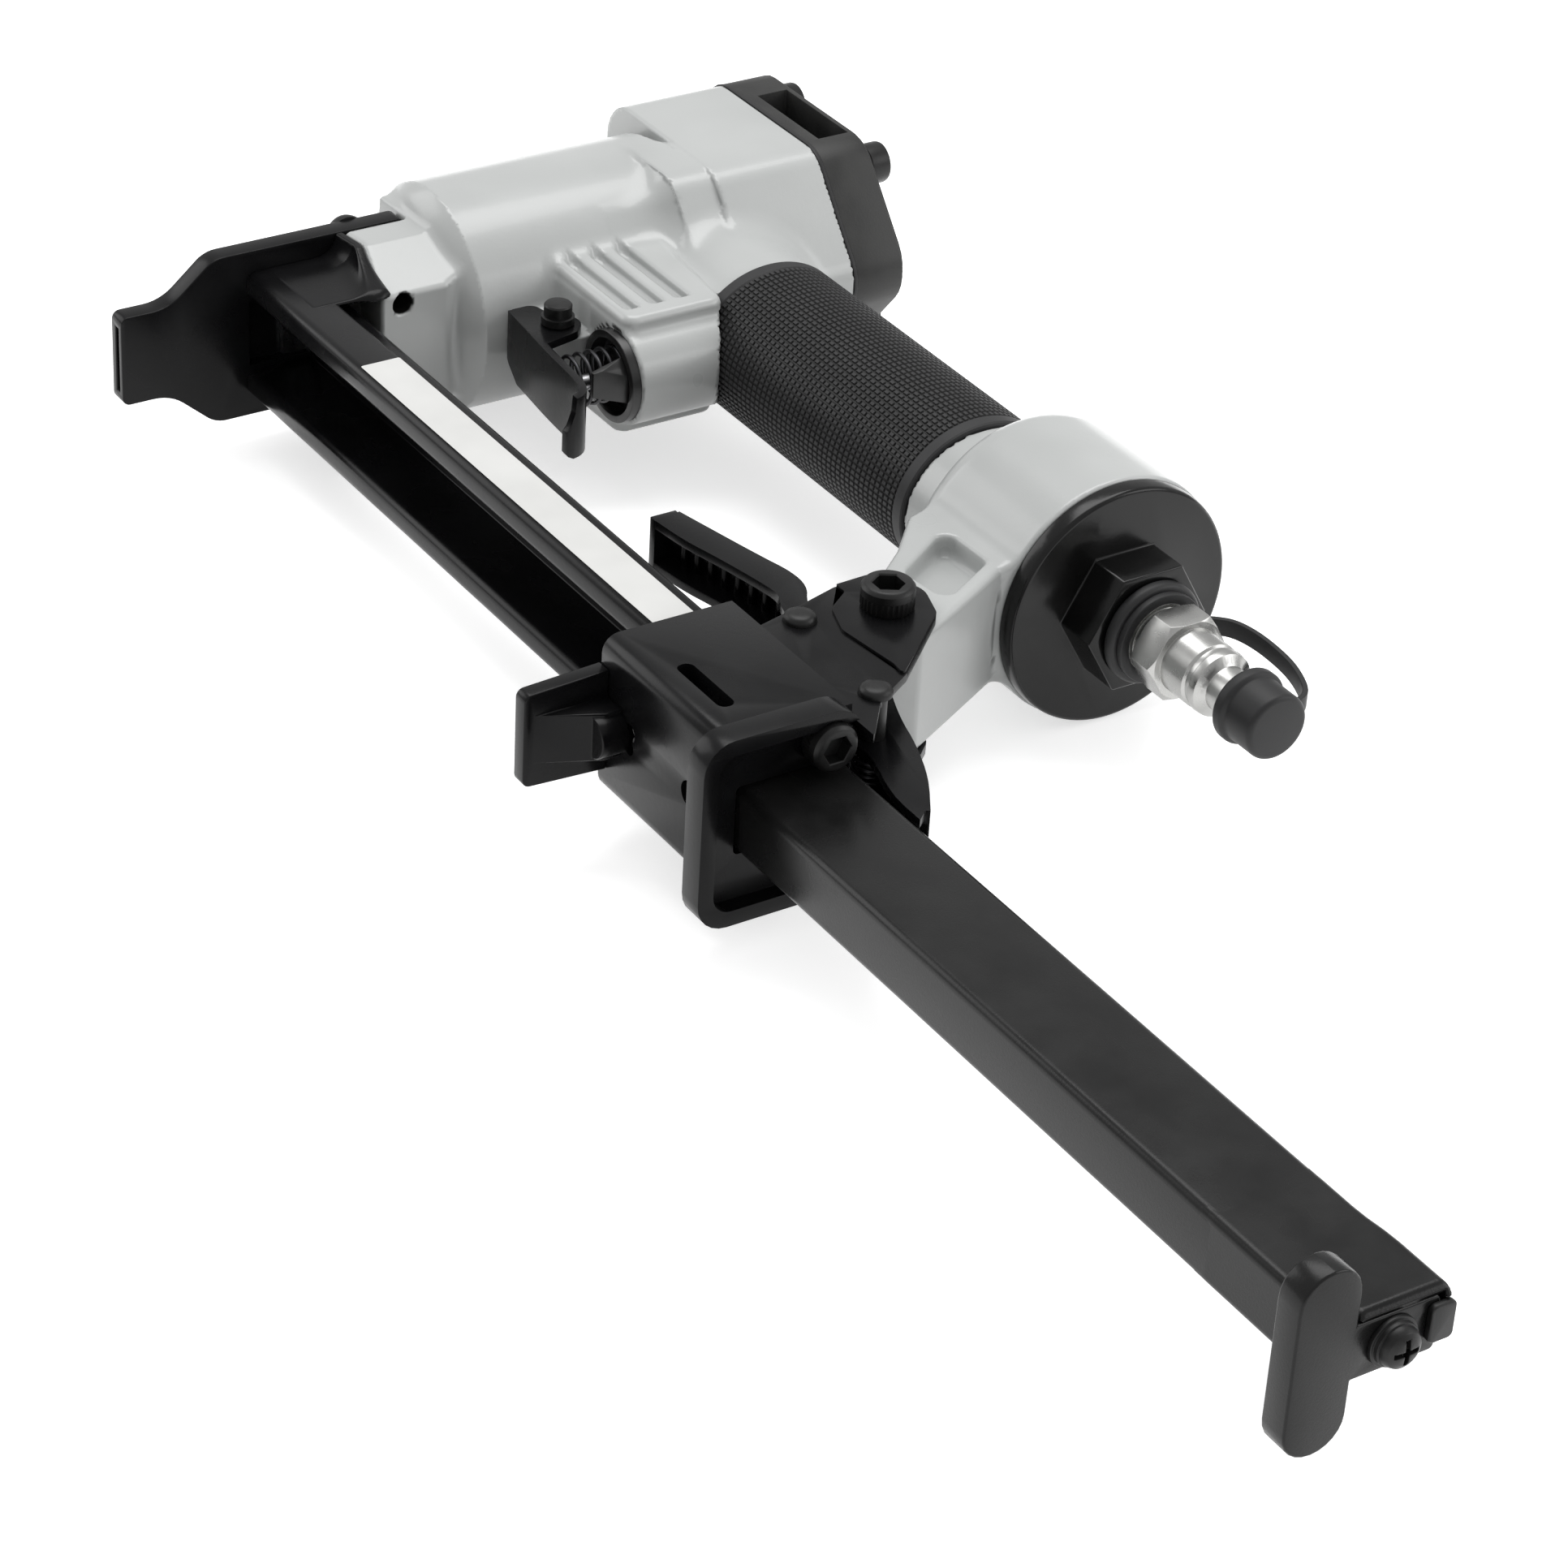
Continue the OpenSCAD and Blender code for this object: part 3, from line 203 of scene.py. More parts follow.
def cut(a, b, edge):
    """The first form without the second, with that edge rounded."""
    return -joined(-a, b, edge)


def shared(a, b, edge):
    """What two forms have in common, with their edge rounded."""
    return -joined(-a, -b, edge)


def barrel_form(x, y, z):
    """The barrel, whose foot over the nose is turned a little wider, with a large rounding."""
    off_axis = np.hypot(x, z)
    radius, foot_radius, foot_y, foot_rounding, top_y = 21.7, 23.3, 57.8, 9.8, 110
    foot = bar(off_axis - foot_radius, foot_y - y, foot_rounding)
    return np.maximum(np.maximum(foot, off_axis - radius), y - top_y)


head_corner, head_top = 8, 135
head_low_line = drawn_in([(-4, -21.9), (15.8, -21.9), (33.6, 0), (15.8, 21.9), (-4, 21.9)], head_corner)
head_high_line = drawn_in([(-21.6, -22), (17, -22), (35.4, 0), (17, 22), (-21.6, 22)], head_corner)


def head_form(x, y, z):
    """The five sided head: it flares out of the barrel to a first ledge, and a second one lies above."""
    flare_y, flare_run, flare_inset, flare_gain = 93, 11, 6, 5.3
    first_y, first_top, second_middle, second_half = 104, 134, 126, 13.6
    low_edge = outline(x, z, head_low_line) - head_corner
    rise = np.clip((y - flare_y) / flare_run, 0, 1)
    flare = np.maximum(low_edge + flare_inset - flare_gain * rise ** 2, within(y, flare_y, first_top))
    first = bar(low_edge, within(y, first_y, first_top), 0.3)
    second = bar(outline(x, z, head_high_line) - head_corner, np.abs(y - second_middle) - second_half, 0.5)
    return joined(np.minimum(flare, first), second, 0.4)


grip_x0, grip_x1 = 41.0, 111.0
covered_oval = (14.2, 12.4)


def oval(y, z, half_height, half_width):
    """A form along x, oval about the handle's axis."""
    return (np.hypot((y - HANDLE) / half_height, z / half_width) - 1) * half_width


def neck_form(x, y, z):
    """The handle: an oval neck, thinner where the grip covers it."""
    front, rear = 7, 125
    open_part, covered_part = oval(y, z, 15.8, 13.8), oval(y, z, *covered_oval)
    form = np.minimum(np.maximum(open_part, within(x, front, grip_x0)),
                      np.maximum(covered_part, within(x, front + 3, rear + 5)))
    return joined(form, np.maximum(open_part, within(x, grip_x1, rear)), 0.5)


valve_x, boss_low = 42.4, 77.4
pad_corner, pad_z, pad_half = 2.5, 5, 7.2
pad_near_line = drawn_in([(10, boss_low), (45.4, boss_low), (45.4, 98), (10, 101)], pad_corner)
pad_far_line = drawn_in([(10, boss_low), (43.4, boss_low), (43.4, 98), (10, 101)], pad_corner)


def boss_form(x, y, z):
    """The valve boss below the neck, with a flat pad on either side; three grooves cross the near pad."""
    radius, middle_y, half_height, web_middle, web_half = 9.5, 90, 12.6, 25.2, 17.2
    height = np.abs(y - middle_y) - half_height
    boss = bar(np.hypot(x - valve_x, z) - radius, height, 0.5)
    web = np.maximum(np.abs(x - web_middle) - web_half, np.abs(z) - radius)
    boss = np.minimum(boss, bar(web, height, 0.5))
    pad = bar(outline(x, y, pad_near_line) - pad_corner, np.abs(z - pad_z) - pad_half, 1.6)
    grooves, groove_y, groove_pitch, groove_half, groove_floor = 3, 80.9, 5.3, 1.35, 10.2
    groove_middle, groove_reach, above_floor = 28.4, 12.8, 4
    groove_section = np.maximum(np.abs(x - groove_middle) - groove_reach,
                                np.abs(z - (groove_floor + above_floor)) - above_floor)
    for k in range(grooves):
        groove = bar(groove_section, np.abs(y - groove_y - groove_pitch * k) - groove_half, 0.7)
        pad = cut(pad, groove, 0.6)
    pad = np.minimum(pad, bar(outline(x, y, pad_far_line) - pad_corner, np.abs(z + pad_z) - pad_half, 1.2))
    return joined(boss, pad, 1.5)


mouth_radius, bore_radius, bore_top = 9.1, 8.0, 92
pin_x, pin_y, pin_radius, cheek_radius, lug_half = 31, 71.4, 2.05, 5.7, 4.7
lug_line = [(10, 67.5), (35, 67.5), (35, 74.4), (33.4, 79.4), (10, 79.4)]
plate_seat_x, plate_top = -1.5, 57.5
nose_side_line = [(plate_seat_x, 44.8), (4, 45.6), (17.4, 42.6), (17.4, 56), (12, 66), (-12, 66),
                  (-12, plate_top), (plate_seat_x, plate_top)]
nose_plan_line = [(-13, -16.6), (5.5, -16.6), (17.4, -11.6), (17.4, 11.6), (5.5, 16.6), (-13, 16.6)]
nose_hole_y, nose_hole_z, nose_hole_radius, nose_hole_end = 47.2, 9.5, 2.0, 6
bolt_x, bolt_y, bolt_radius = 153, 62, 3.05
arm_corner, pocket_corner = 1.5, 2.0
arm_line = drawn_in([(148.7, 98), (122, 98), (126.5, 84), (135, 76), (145.5, 63), (148, 57.8), (160, 57.8),
                     (161, 64), (148.7, 87.5)], arm_corner)
pocket_line = drawn_in([(133.2, 86.7), (142, 72.9), (152.5, 74.2), (145.3, 87.1)], pocket_corner)


def arm_form(x, y, z):
    """The arm from the cup to the magazine, with a shallow pocket in either side."""
    half_width, pocket_middle, pocket_half = 11.2, 12.6, 5.4
    arm = bar(outline(x, y, arm_line) - arm_corner, np.abs(z) - half_width, 1.2)
    depth = np.abs(np.abs(z) - pocket_middle) - pocket_half
    return cut(arm, bar(outline(x, y, pocket_line) - pocket_corner, depth, 1.4), 1.0)


def casting_form(x, y, z):
    """Distance in mm from the casting's surface, less than nil in its metal."""
    cup_radius, cup_front, cup_end, past_cup = 22.5, 120, 149.3, 23.4
    nose = shared(outline(x, y, nose_side_line), outline(x, z, nose_plan_line), 1.2)
    form = joined(barrel_form(x, y, z), head_form(x, y, z), 2.4)
    form = joined(form, neck_form(x, y, z), 4.0)
    form = joined(form, boss_form(x, y, z), 2.2)
    form = joined(form, bar(outline(x, y, lug_line), np.abs(z) - lug_half, 0.8), 1.2)
    form = joined(form, nose, 1.5)
    off_handle = np.hypot(y - HANDLE, z)
    form = joined(form, bar(off_handle - cup_radius, cup_front - x, 6.0), 4.0)
    form = joined(form, arm_form(x, y, z), 3.0)
    # The seats of the cylinder cap, the nose plate and the end cap.
    form = np.maximum(form, y - head_top)
    form = cut(form, np.maximum(x - plate_seat_x, y - plate_top), 0.4)
    form = cut(form, np.maximum(cup_end - x, off_handle - past_cup), 0.8)
    # Room for the grip, and for the trigger's cheeks beside the lug; then the pin's hole through the lug.
    grip_room = np.maximum(oval(y, z, 16.6, 14.8), within(x, grip_x0, grip_x1))
    form = cut(form, np.maximum(grip_room, -oval(y, z, *covered_oval)), 0.4)
    off_pin = np.hypot(x - pin_x, y - pin_y) + 0 * z
    form = cut(form, np.maximum(off_pin - cheek_radius, lug_half - np.abs(z)), 0.5)
    form = cut(form, off_pin - pin_radius, 0.3)
    # The cross hole in the nose block, the valve's mouth and bore, and the cross bolt's hole.
    off_hole = np.hypot(y - nose_hole_y, z - nose_hole_z)
    form = cut(form, np.maximum(off_hole - nose_hole_radius, nose_hole_end - x), 0.6)
    off_valve = np.hypot(x - valve_x, z)
    form = cut(form, np.maximum(off_valve - mouth_radius, y - boss_low), 0.2)
    form = cut(form, np.maximum(off_valve - bore_radius, y - bore_top), 0.2)
    return cut(form, np.hypot(x - bolt_x, y - bolt_y) - bolt_radius + 0 * z, 0.3)


def skin(values, low, step):
    """The surface where the values pass through nil, as corners and four-sided faces."""
    solid = values < 0
    n = np.array(values.shape) - 1
    part = lambda a, d: a[d[0]:d[0] + n[0], d[1]:d[1] + n[1], d[2]:d[2] + n[2]]
    count = sum(part(solid, (i, j, k)).astype(np.int8) for i in (0, 1) for j in (0, 1) for k in (0, 1))
    mixed = (count > 0) & (count < 8)
    total, hits = np.zeros((mixed.sum(), 3)), np.zeros(mixed.sum())
    for i in range(3):
        j, k = (i + 1) % 3, (i + 2) % 3
        for dj in (0, 1):
            for dk in (0, 1):
                d0 = [0, 0, 0]
                d0[j], d0[k] = dj, dk
                d1 = list(d0)
                d1[i] = 1
                va, vb = part(values, d0)[mixed], part(values, d1)[mixed]
                crossed = (va < 0) != (vb < 0)
                spot = np.tile(np.array(d0, float), (len(va), 1))
                spot[:, i] = np.where(crossed, va / np.where(crossed, va - vb, 1), 0)
                total += spot * crossed[:, None]
                hits += crossed
    corners = (np.argwhere(mixed) + total / hits[:, None]) * step + np.array(low)
    number = np.full(mixed.shape, -1)
    number[mixed] = np.arange(len(corners))
    faces = []
    for i in range(3):
        j, k = (i + 1) % 3, (i + 2) % 3
        a = np.take(solid, range(solid.shape[i] - 1), i)
        b = np.take(solid, range(1, solid.shape[i]), i)
        spots = np.argwhere(a != b)
        spots = spots[(spots[:, j] > 0) & (spots[:, k] > 0) & (spots[:, j] < n[j]) & (spots[:, k] < n[k])]
        ring = []
        for dj, dk in ((0, 0), (1, 0), (1, 1), (0, 1)):
            p = spots.copy()
            p[:, j] -= dj
            p[:, k] -= dk
            ring.append(number[p[:, 0], p[:, 1], p[:, 2]])
        ring = np.stack(ring, 1)
        outwards = a[spots[:, 0], spots[:, 1], spots[:, 2]]
        faces.append(np.where(outwards[:, None], ring, ring[:, ::-1]))
    return corners, np.concatenate(faces)


def carved(name, form, low, high, step):
    """The mesh of a form: skinned on a grid, then each corner moved onto the true surface, with its normal."""
    spans = [np.arange(a, b, step) for a, b in zip(low, high)]
    grid = spans[0][:, None, None], spans[1][None, :, None], spans[2][None, None, :]
    corners, faces = skin(form(*grid), low, step)
    feel, moves, least_slope, longest_move = 0.02, 3, 0.05, 0.55 * step
    for k in range(moves + 1):
        here = form(*corners.T)
        slope = np.stack([(form(*(corners + feel * np.eye(3)[i]).T) - here) / feel for i in range(3)], 1)
        if k < moves:
            move = here / np.maximum((slope ** 2).sum(1), least_slope)
            corners -= slope * np.clip(move, -longest_move, longest_move)[:, None]
    mesh = bpy.data.meshes.new(name)
    mesh.from_pydata(((corners + (AXIS, 0, 0)) / 1000).tolist(), [], faces.tolist())
    mesh.polygons.foreach_set("use_smooth", [True] * len(mesh.polygons))
    mesh.normals_split_custom_set_from_vertices((slope / np.linalg.norm(slope, axis=1)[:, None]).tolist())
    return mesh


def marked(mesh, name, values):
    """Writes a value for each corner of the mesh, which a finish can read by that name."""
    mesh.attributes.new(name, "FLOAT", "POINT").data.foreach_set("value", values.astype(np.float32))


casting_mesh = carved("body_shell", casting_form, (-26, 38, -25), (164, 138, 25.1), 0.75)
# The corners inside the nose block's cross hole are marked, to be painted dark as the shade within the hole.
spots = np.zeros(len(casting_mesh.vertices) * 3)
casting_mesh.vertices.foreach_get("co", spots)
spots = spots.reshape(-1, 3) * 1000
off_hole = np.hypot(spots[:, 1] - nose_hole_y, spots[:, 2] - nose_hole_z)
marked(casting_mesh, "bore", (off_hole < nose_hole_radius + 0.1) & (spots[:, 0] > nose_hole_end))


def finish_of(name, surface, tones, patch, roughness, dents, detail=4, dent_detail=2):
    """A new material on Object coordinates. Its colour drifts between two tones over patches of that size in
    mm, and its roughness goes with it from one value to the other. Dents are a size, a depth, a strength."""
    made = bpy.data.materials.new(name)
    made.use_nodes = True
    tree = made.node_tree
    tree.nodes.clear()
    shader = add(tree, "ShaderNodeBsdfPrincipled", surface)
    add(tree, "ShaderNodeOutputMaterial", {"Surface": shader.outputs[0]})
    where = add(tree, "ShaderNodeTexCoord").outputs["Object"]
    drift = add(tree, "ShaderNodeTexNoise", {"Vector": where, "Scale": 1000 / patch, "Detail": detail})
    low_end, high_end = 0.2, 0.8
    tone = add(tree, "ShaderNodeValToRGB", {"Fac": drift.outputs["Fac"]})
    for stop, place, colour in zip(tone.color_ramp.elements, (low_end, high_end), tones):
        stop.position, stop.color = place, linear(colour)
    tree.links.new(tone.outputs["Color"], shader.inputs["Base Color"])
    gloss = add(tree, "ShaderNodeMapRange", {
        "Value": drift.outputs["Fac"], "From Min": low_end, "From Max": high_end,
        "To Min": roughness[0], "To Max": roughness[1]})
    tree.links.new(gloss.outputs["Result"], shader.inputs["Roughness"])
    dent_size, dent_depth, dent_strength = dents
    grain = add(tree, "ShaderNodeTexNoise", {
        "Vector": where, "Scale": 1000 / dent_size, "Detail": dent_detail})
    dent = add(tree, "ShaderNodeBump", {
        "Height": grain.outputs["Fac"], "Strength": dent_strength, "Distance": dent_depth / 1000})
    tree.links.new(dent.outputs["Normal"], shader.inputs["Normal"])
    return made


def darkened(finish, mark, colour):
    """Gives a finish that colour wherever the mesh is marked."""
    tree = finish.node_tree
    shader = next(node for node in tree.nodes if node.type == "BSDF_PRINCIPLED")
    place = add(tree, "ShaderNodeAttribute", attribute_name=mark)
    mixed = add(tree, "ShaderNodeMix", {
        0: place.outputs["Fac"], 6: shader.inputs["Base Color"].links[0].from_socket, 7: linear(colour)},
        data_type="RGBA")
    tree.links.new(mixed.outputs[2], shader.inputs["Base Color"])


def shown(name, mesh, finish, body, *nodes):
    """Shows a mesh as a piece that rides on that body, if any, and stands for those CAD nodes."""
    mesh.name = name
    mesh.materials.clear()
    mesh.materials.append(finish)
    mesh.polygons.foreach_set("material_index", [0] * len(mesh.polygons))
    piece = bpy.data.objects.new(name, mesh)
    bpy.context.scene.collection.objects.link(piece)
    if body:
        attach(piece, body)
    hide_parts(*nodes)
    return piece


# Grey powder coat over the casting: a smooth thick film with orange peel of about 1.2 mm, colour that runs a
# shade lighter and darker over a few centimetres, and duller patches where hands have been. The drilled
# hole in the nose block is painted near black: painted shade, standing for the shade inside the hole.
powder_coat = finish_of("grey_powder_coat", {"IOR": 1.5, "Coat Weight": 0.25, "Coat Roughness": 0.12},
                        ("#A9ABAA", "#B5B7B6"), 25, (0.25, 0.38), (1.2, 0.2, 0.1), detail=2)
# Painted shade: the cross hole's walls are coloured near black, for the shade inside the hole.
darkened(powder_coat, "bore", "#1A1918")
shown("body_shell", casting_mesh, powder_coat, "tool", "body_casting")


# The grip sleeve is a tube of black moulded rubber, pushed on over the handle. All round, its mould left
# small oblong pads, 1.5 by 1.1 mm, with grooves between them, and a smooth band at each end.
grip_half_height, grip_half_width, grip_wall = 16.4, 14.6, 2.1
groove_depth, groove_width, groove_slope, smooth_band = 0.28, 0.3, 0.12, 3.0
pads_along, pads_round, grip_round = 43, 88, 97.4


def oval_at(share, half_height, half_width):
    """Points on an oval about the handle's axis, evenly spaced along it; share runs from 0 to 1."""
    turn = np.linspace(0, 2 * math.pi, 1441)
    steps = np.hypot(np.diff(grip_half_height * np.cos(turn)), np.diff(grip_half_width * np.sin(turn)))
    run = np.concatenate([[0], np.cumsum(steps)])
    at = np.interp(share, run / run[-1], turn)
    return half_height * np.cos(at), half_width * np.sin(at)


def pad_lines(count, room, groove, slope):
    """Where the lines of the pads lie, as lengths from the start, and 0 in a groove or 1 on a pad."""
    pitch = room / count
    steps = np.array([groove / 2, groove / 2 + slope, pitch - groove / 2 - slope, pitch - groove / 2])
    return (np.arange(count)[:, None] * pitch + steps).ravel(), np.tile([0.0, 1.0, 1.0, 0.0], count)


along, along_up = pad_lines(pads_along, grip_x1 - grip_x0 - 2 * smooth_band, groove_width, groove_slope)
around, around_up = pad_lines(pads_round, 1.0, groove_width / grip_round, groove_slope / grip_round)
# Rows from the front edge inside, over the front, the pads and the rear, to the rear edge inside: a length,
# how far the row stands out, and 1 where it runs in a groove.
edge = [(0, -grip_wall, 0), (0, -0.6, 0), (0.15, -0.22, 0), (0.5, 0, 0), (smooth_band - 0.3, 0, 0)]
rows = [(grip_x0 + length, out, low) for length, out, low in edge]
rows += [(grip_x0 + smooth_band + length, 0, 1 - up) for length, up in zip(along, along_up)]
rows += [(grip_x1 - length, out, low) for length, out, low in reversed(edge)]
points, lows = [], []
for row_x, out, low in rows:
    in_pads = grip_x0 + smooth_band < row_x < grip_x1 - smooth_band
    lows.append(np.maximum(low, 1 - around_up) if in_pads else np.zeros(len(around)))
    drop = groove_depth * lows[-1]
    ring_y, ring_z = oval_at(around, grip_half_height + out, grip_half_width + out)
    out_y, out_z = ring_y / grip_half_height ** 2, ring_z / grip_half_width ** 2
    length = np.hypot(out_y, out_z)
    points.append(np.stack([np.full(len(around), row_x + AXIS), HANDLE + ring_y - drop * out_y / length,
                            ring_z - drop * out_z / length], 1))
ring_size = len(around)
first = np.arange(len(rows))[:, None] * ring_size + np.arange(ring_size)
beside = np.roll(first, -1, 1)
quads = np.stack([first, beside, np.roll(beside, -1, 0), np.roll(first, -1, 0)], 2).reshape(-1, 4)
grip_mesh = bpy.data.meshes.new("grip_rubber")
grip_mesh.from_pydata((np.concatenate(points) / 1000).tolist(), [], quads.tolist())
# The grooves are marked, to be painted dark as the shade between the pads.
marked(grip_mesh, "groove", np.concatenate(lows))
# Moulded rubber: near black with a soft grey sheen and paler dust in places. Its matt grain is drawn at
# 0.35 mm, coarser than it is, so that it shows. On the grip the grooves are painted darker: painted shade.
rubber_surface = {"IOR": 1.5, "Specular IOR Level": 0.38}
rubber_grain = (0.35, 0.05, 0.25)
rubber = finish_of("moulded_rubber", rubber_surface, ("#161617", "#242425"), 9, (0.44, 0.6), rubber_grain)
grip_rubber = finish_of("grip_rubber", rubber_surface, ("#1C1C1D", "#2B2B2C"), 9, (0.44, 0.6), rubber_grain)
# Painted shade: the grooves between the pads are coloured near black.
darkened(grip_rubber, "groove", "#060606")
shown("grip_rubber", grip_mesh, grip_rubber, "tool", "grip_sleeve")


# The cylinder cap is a blacked aluminium casting with an exhaust slot in its side and softly rounded edges,
# on a thin rubber gasket. The blacked skin is dull and a little grainy, with paler places where it is worn.
def applied(piece):
    """A plain mesh with a piece's modifiers worked in; the piece itself goes."""
    bpy.context.view_layer.update()
    mesh = bpy.data.meshes.new_from_object(piece.evaluated_get(bpy.context.evaluated_depsgraph_get()))
    old = piece.data
    bpy.data.objects.remove(piece)
    bpy.data.meshes.remove(old)
    return mesh


def rounded_copy(node, width, segments=3):
    """A copy of a CAD mesh with its sharp edges rounded by that width in mm."""
    same_spot, same_plane = 2e-6, math.radians(0.6)
    mesh = bpy.data.meshes.new(node + "_copy")
    work = bmesh.new()
    work.from_mesh(NODES[node].data)
    bmesh.ops.remove_doubles(work, verts=work.verts, dist=same_spot)
    bmesh.ops.dissolve_limit(work, angle_limit=same_plane, verts=work.verts, edges=work.edges)
    work.to_mesh(mesh)
    work.free()
    mesh.polygons.foreach_set("use_smooth", [True] * len(mesh.polygons))
    copy = bpy.data.objects.new(node + "_copy", mesh)
    bpy.context.scene.collection.objects.link(copy)
    rounding = copy.modifiers.new("edges", "BEVEL")
    rounding.width = width / 1000
    rounding.segments = segments
    rounding.limit_method = "ANGLE"
    rounding.angle_limit = math.radians(32)
    mesh = applied(copy)
    mesh.set_sharp_from_angle(angle=math.radians(40))
    return mesh


def softened(node, finish, body, width, segments=3):
    """Shows a CAD piece with its edges rounded by that width in mm."""
    return shown(node + "_piece", rounded_copy(node, width, segments), finish, body, node)


black_cast = finish_of("blacked_casting", {"IOR": 1.5, "Specular IOR Level": 0.35}, ("#1F1F1F", "#333332"), 7,
                       (0.38, 0.55), (0.5, 0.08, 0.3), dent_detail=3)
softened("cylinder_cap", black_cast, "tool", 0.8)
softened("cap_gasket", rubber, "tool", 0.1)


# Four socket head screws hold the cap down. They are turned steel, blacked with oxide in a hot bath, which
# leaves a thin dark film with brighter steel where a key has rubbed it. A turned piece is made from its
# rows: a radius, a length along its axis, and an edge, which is round unless the row says otherwise.
def turned(rows, sides=48):
    """Corners and faces of a closed turned solid about its own axis; the rows run up its outside."""
    turn = np.arange(sides) * 2 * math.pi / sides
    sixth, flutes, flute_depth = math.pi / 3, 32, 0.06
    shapes = {"round": np.ones(sides), "knurled": 1 - flute_depth * (0.5 - 0.5 * np.cos(turn * flutes)),
              "six": 1 / np.cos(turn % sixth - sixth / 2)}
    points, faces = [], []
    for radius, length, *edge in rows:
        spread = radius * shapes[edge[0] if edge else "round"]
        level = np.full(sides, float(length))
        points.append(np.stack([spread * np.cos(turn), spread * np.sin(turn), level], 1))
    points = np.concatenate(points + [np.array([[0, 0, rows[0][1]], [0, 0, rows[-1][1]]], float)])
    low, high = len(rows) * sides, len(rows) * sides + 1
    for i in range(len(rows) - 1):
        for j in range(sides):
            k = (j + 1) % sides
            faces.append((i * sides + j, i * sides + k, (i + 1) * sides + k, (i + 1) * sides + j))
    top = (len(rows) - 1) * sides
    for j in range(sides):
        k = (j + 1) % sides
        faces.append((low, k, j))
        faces.append((high, top + j, top + k))
    return points, faces


def placed(name, way, *solids):
    """One mesh of turned solids, each with its spot, and all with their axis along x, y or z."""
    k = "xyz".index(way)
    along, across = np.eye(3)[k], np.eye(3)[(k + 1) % 3]
    points, faces = [], []
    for (corners, sides), spot in solids:
        start = sum(len(p) for p in points)
        points.append(corners @ np.array([across, np.cross(along, across), along]) + spot + (AXIS, 0, 0))
        faces += [tuple(start + c for c in face) for face in sides]
    mesh = bpy.data.meshes.new(name)
    mesh.from_pydata((np.concatenate(points) / 1000).tolist(), [], faces)
    mesh.polygons.foreach_set("use_smooth", [True] * len(mesh.polygons))
    mesh.set_sharp_from_angle(angle=math.radians(35))
    return mesh


def grown(name, mesh, sizes, finish, build):
    """What a Geometry Nodes tree makes of a mesh, as a plain mesh. The sizes are the tree's named inputs, and
    build(tree, given) adds its own nodes."""
    tree = bpy.data.node_groups.new(name, "GeometryNodeTree")
    sockets = tree.interface
    sockets.new_socket("Geometry", in_out="INPUT", socket_type="NodeSocketGeometry")
    for size, value in sizes.items():
        kind = "NodeSocketInt" if isinstance(value, int) else "NodeSocketFloat"
        sockets.new_socket(size, in_out="INPUT", socket_type=kind)
    sockets.new_socket("Finish", in_out="INPUT", socket_type="NodeSocketMaterial")
    sockets.new_socket("Geometry", in_out="OUTPUT", socket_type="NodeSocketGeometry")
    given = add(tree, "NodeGroupInput").outputs
    real = add(tree, "GeometryNodeRealizeInstances", {"Geometry": build(tree, given)})
    finished = add(tree, "GeometryNodeSetMaterial", {
        "Geometry": real.outputs[0], "Material": given["Finish"]})
    add(tree, "NodeGroupOutput", {"Geometry": finished.outputs[0]})
    carrier = bpy.data.objects.new(name, mesh)
    bpy.context.scene.collection.objects.link(carrier)
    growth = carrier.modifiers.new(name, "NODES")
    growth.node_group = tree
    for item in sockets.items_tree:
        if item.in_out == "INPUT" and item.name != "Geometry":
            growth[item.identifier] = finish if item.name == "Finish" else sizes[item.name]
    return applied(carrier)


def rowed(tree, given):
    """The mesh again and again along a line."""
    step = add(tree, "ShaderNodeCombineXYZ", {"X": given["Pitch X"], "Z": given["Pitch Z"]})
    line = add(tree, "GeometryNodeMeshLine", {"Count": given["Count"], "Offset": step.outputs[0]})
    copies = add(tree, "GeometryNodeInstanceOnPoints", {
        "Points": line.outputs[0], "Instance": given["Geometry"]})
    return copies.outputs[0]


black_oxide = finish_of("black_oxide_steel", {"Metallic": 0.5}, ("#141414", "#262626"), 3, (0.32, 0.5),
                        (0.4, 0.03, 0.3))
socket_head = [(2.5, -12), (2.5, 0), (3.75, 0), (4, 0.25), (4, 3.7), (3.8, 4.2), (3.4, 4.4),
               (2.5, 4.4, "six"), (2.31, 4.2, "six"), (2.31, 2, "six")]
screw = placed("cap_screw", "y", (turned(socket_head), (-15, 147.2, -15.4)))
pair = grown("cap_screw_pair", screw, {"Pitch X": 0.0, "Pitch Z": 0.0308, "Count": 2}, black_oxide, rowed)
four = grown("cap_screw_row", pair, {"Pitch X": 0.03, "Pitch Z": 0.0, "Count": 2}, black_oxide, rowed)
shown("cap_screws_piece", four, black_oxide, "tool", "cap_screws")


# The nose plate is pressed from 4 mm steel and enamelled black like the magazine: the paint is a smooth,
# half glossy stove enamel, thin at the edges. Two pan head screws hold the plate, each with a cross slot.
black_enamel = finish_of("black_stove_enamel", {"IOR": 1.5, "Specular IOR Level": 0.18},
                         ("#070708", "#131314"), 14, (0.18, 0.34), (1.1, 0.1, 0.12), detail=3)
softened("nose_plate", black_enamel, "tool", 0.7)
softened("nose_screws", black_oxide, "tool", 0.25)


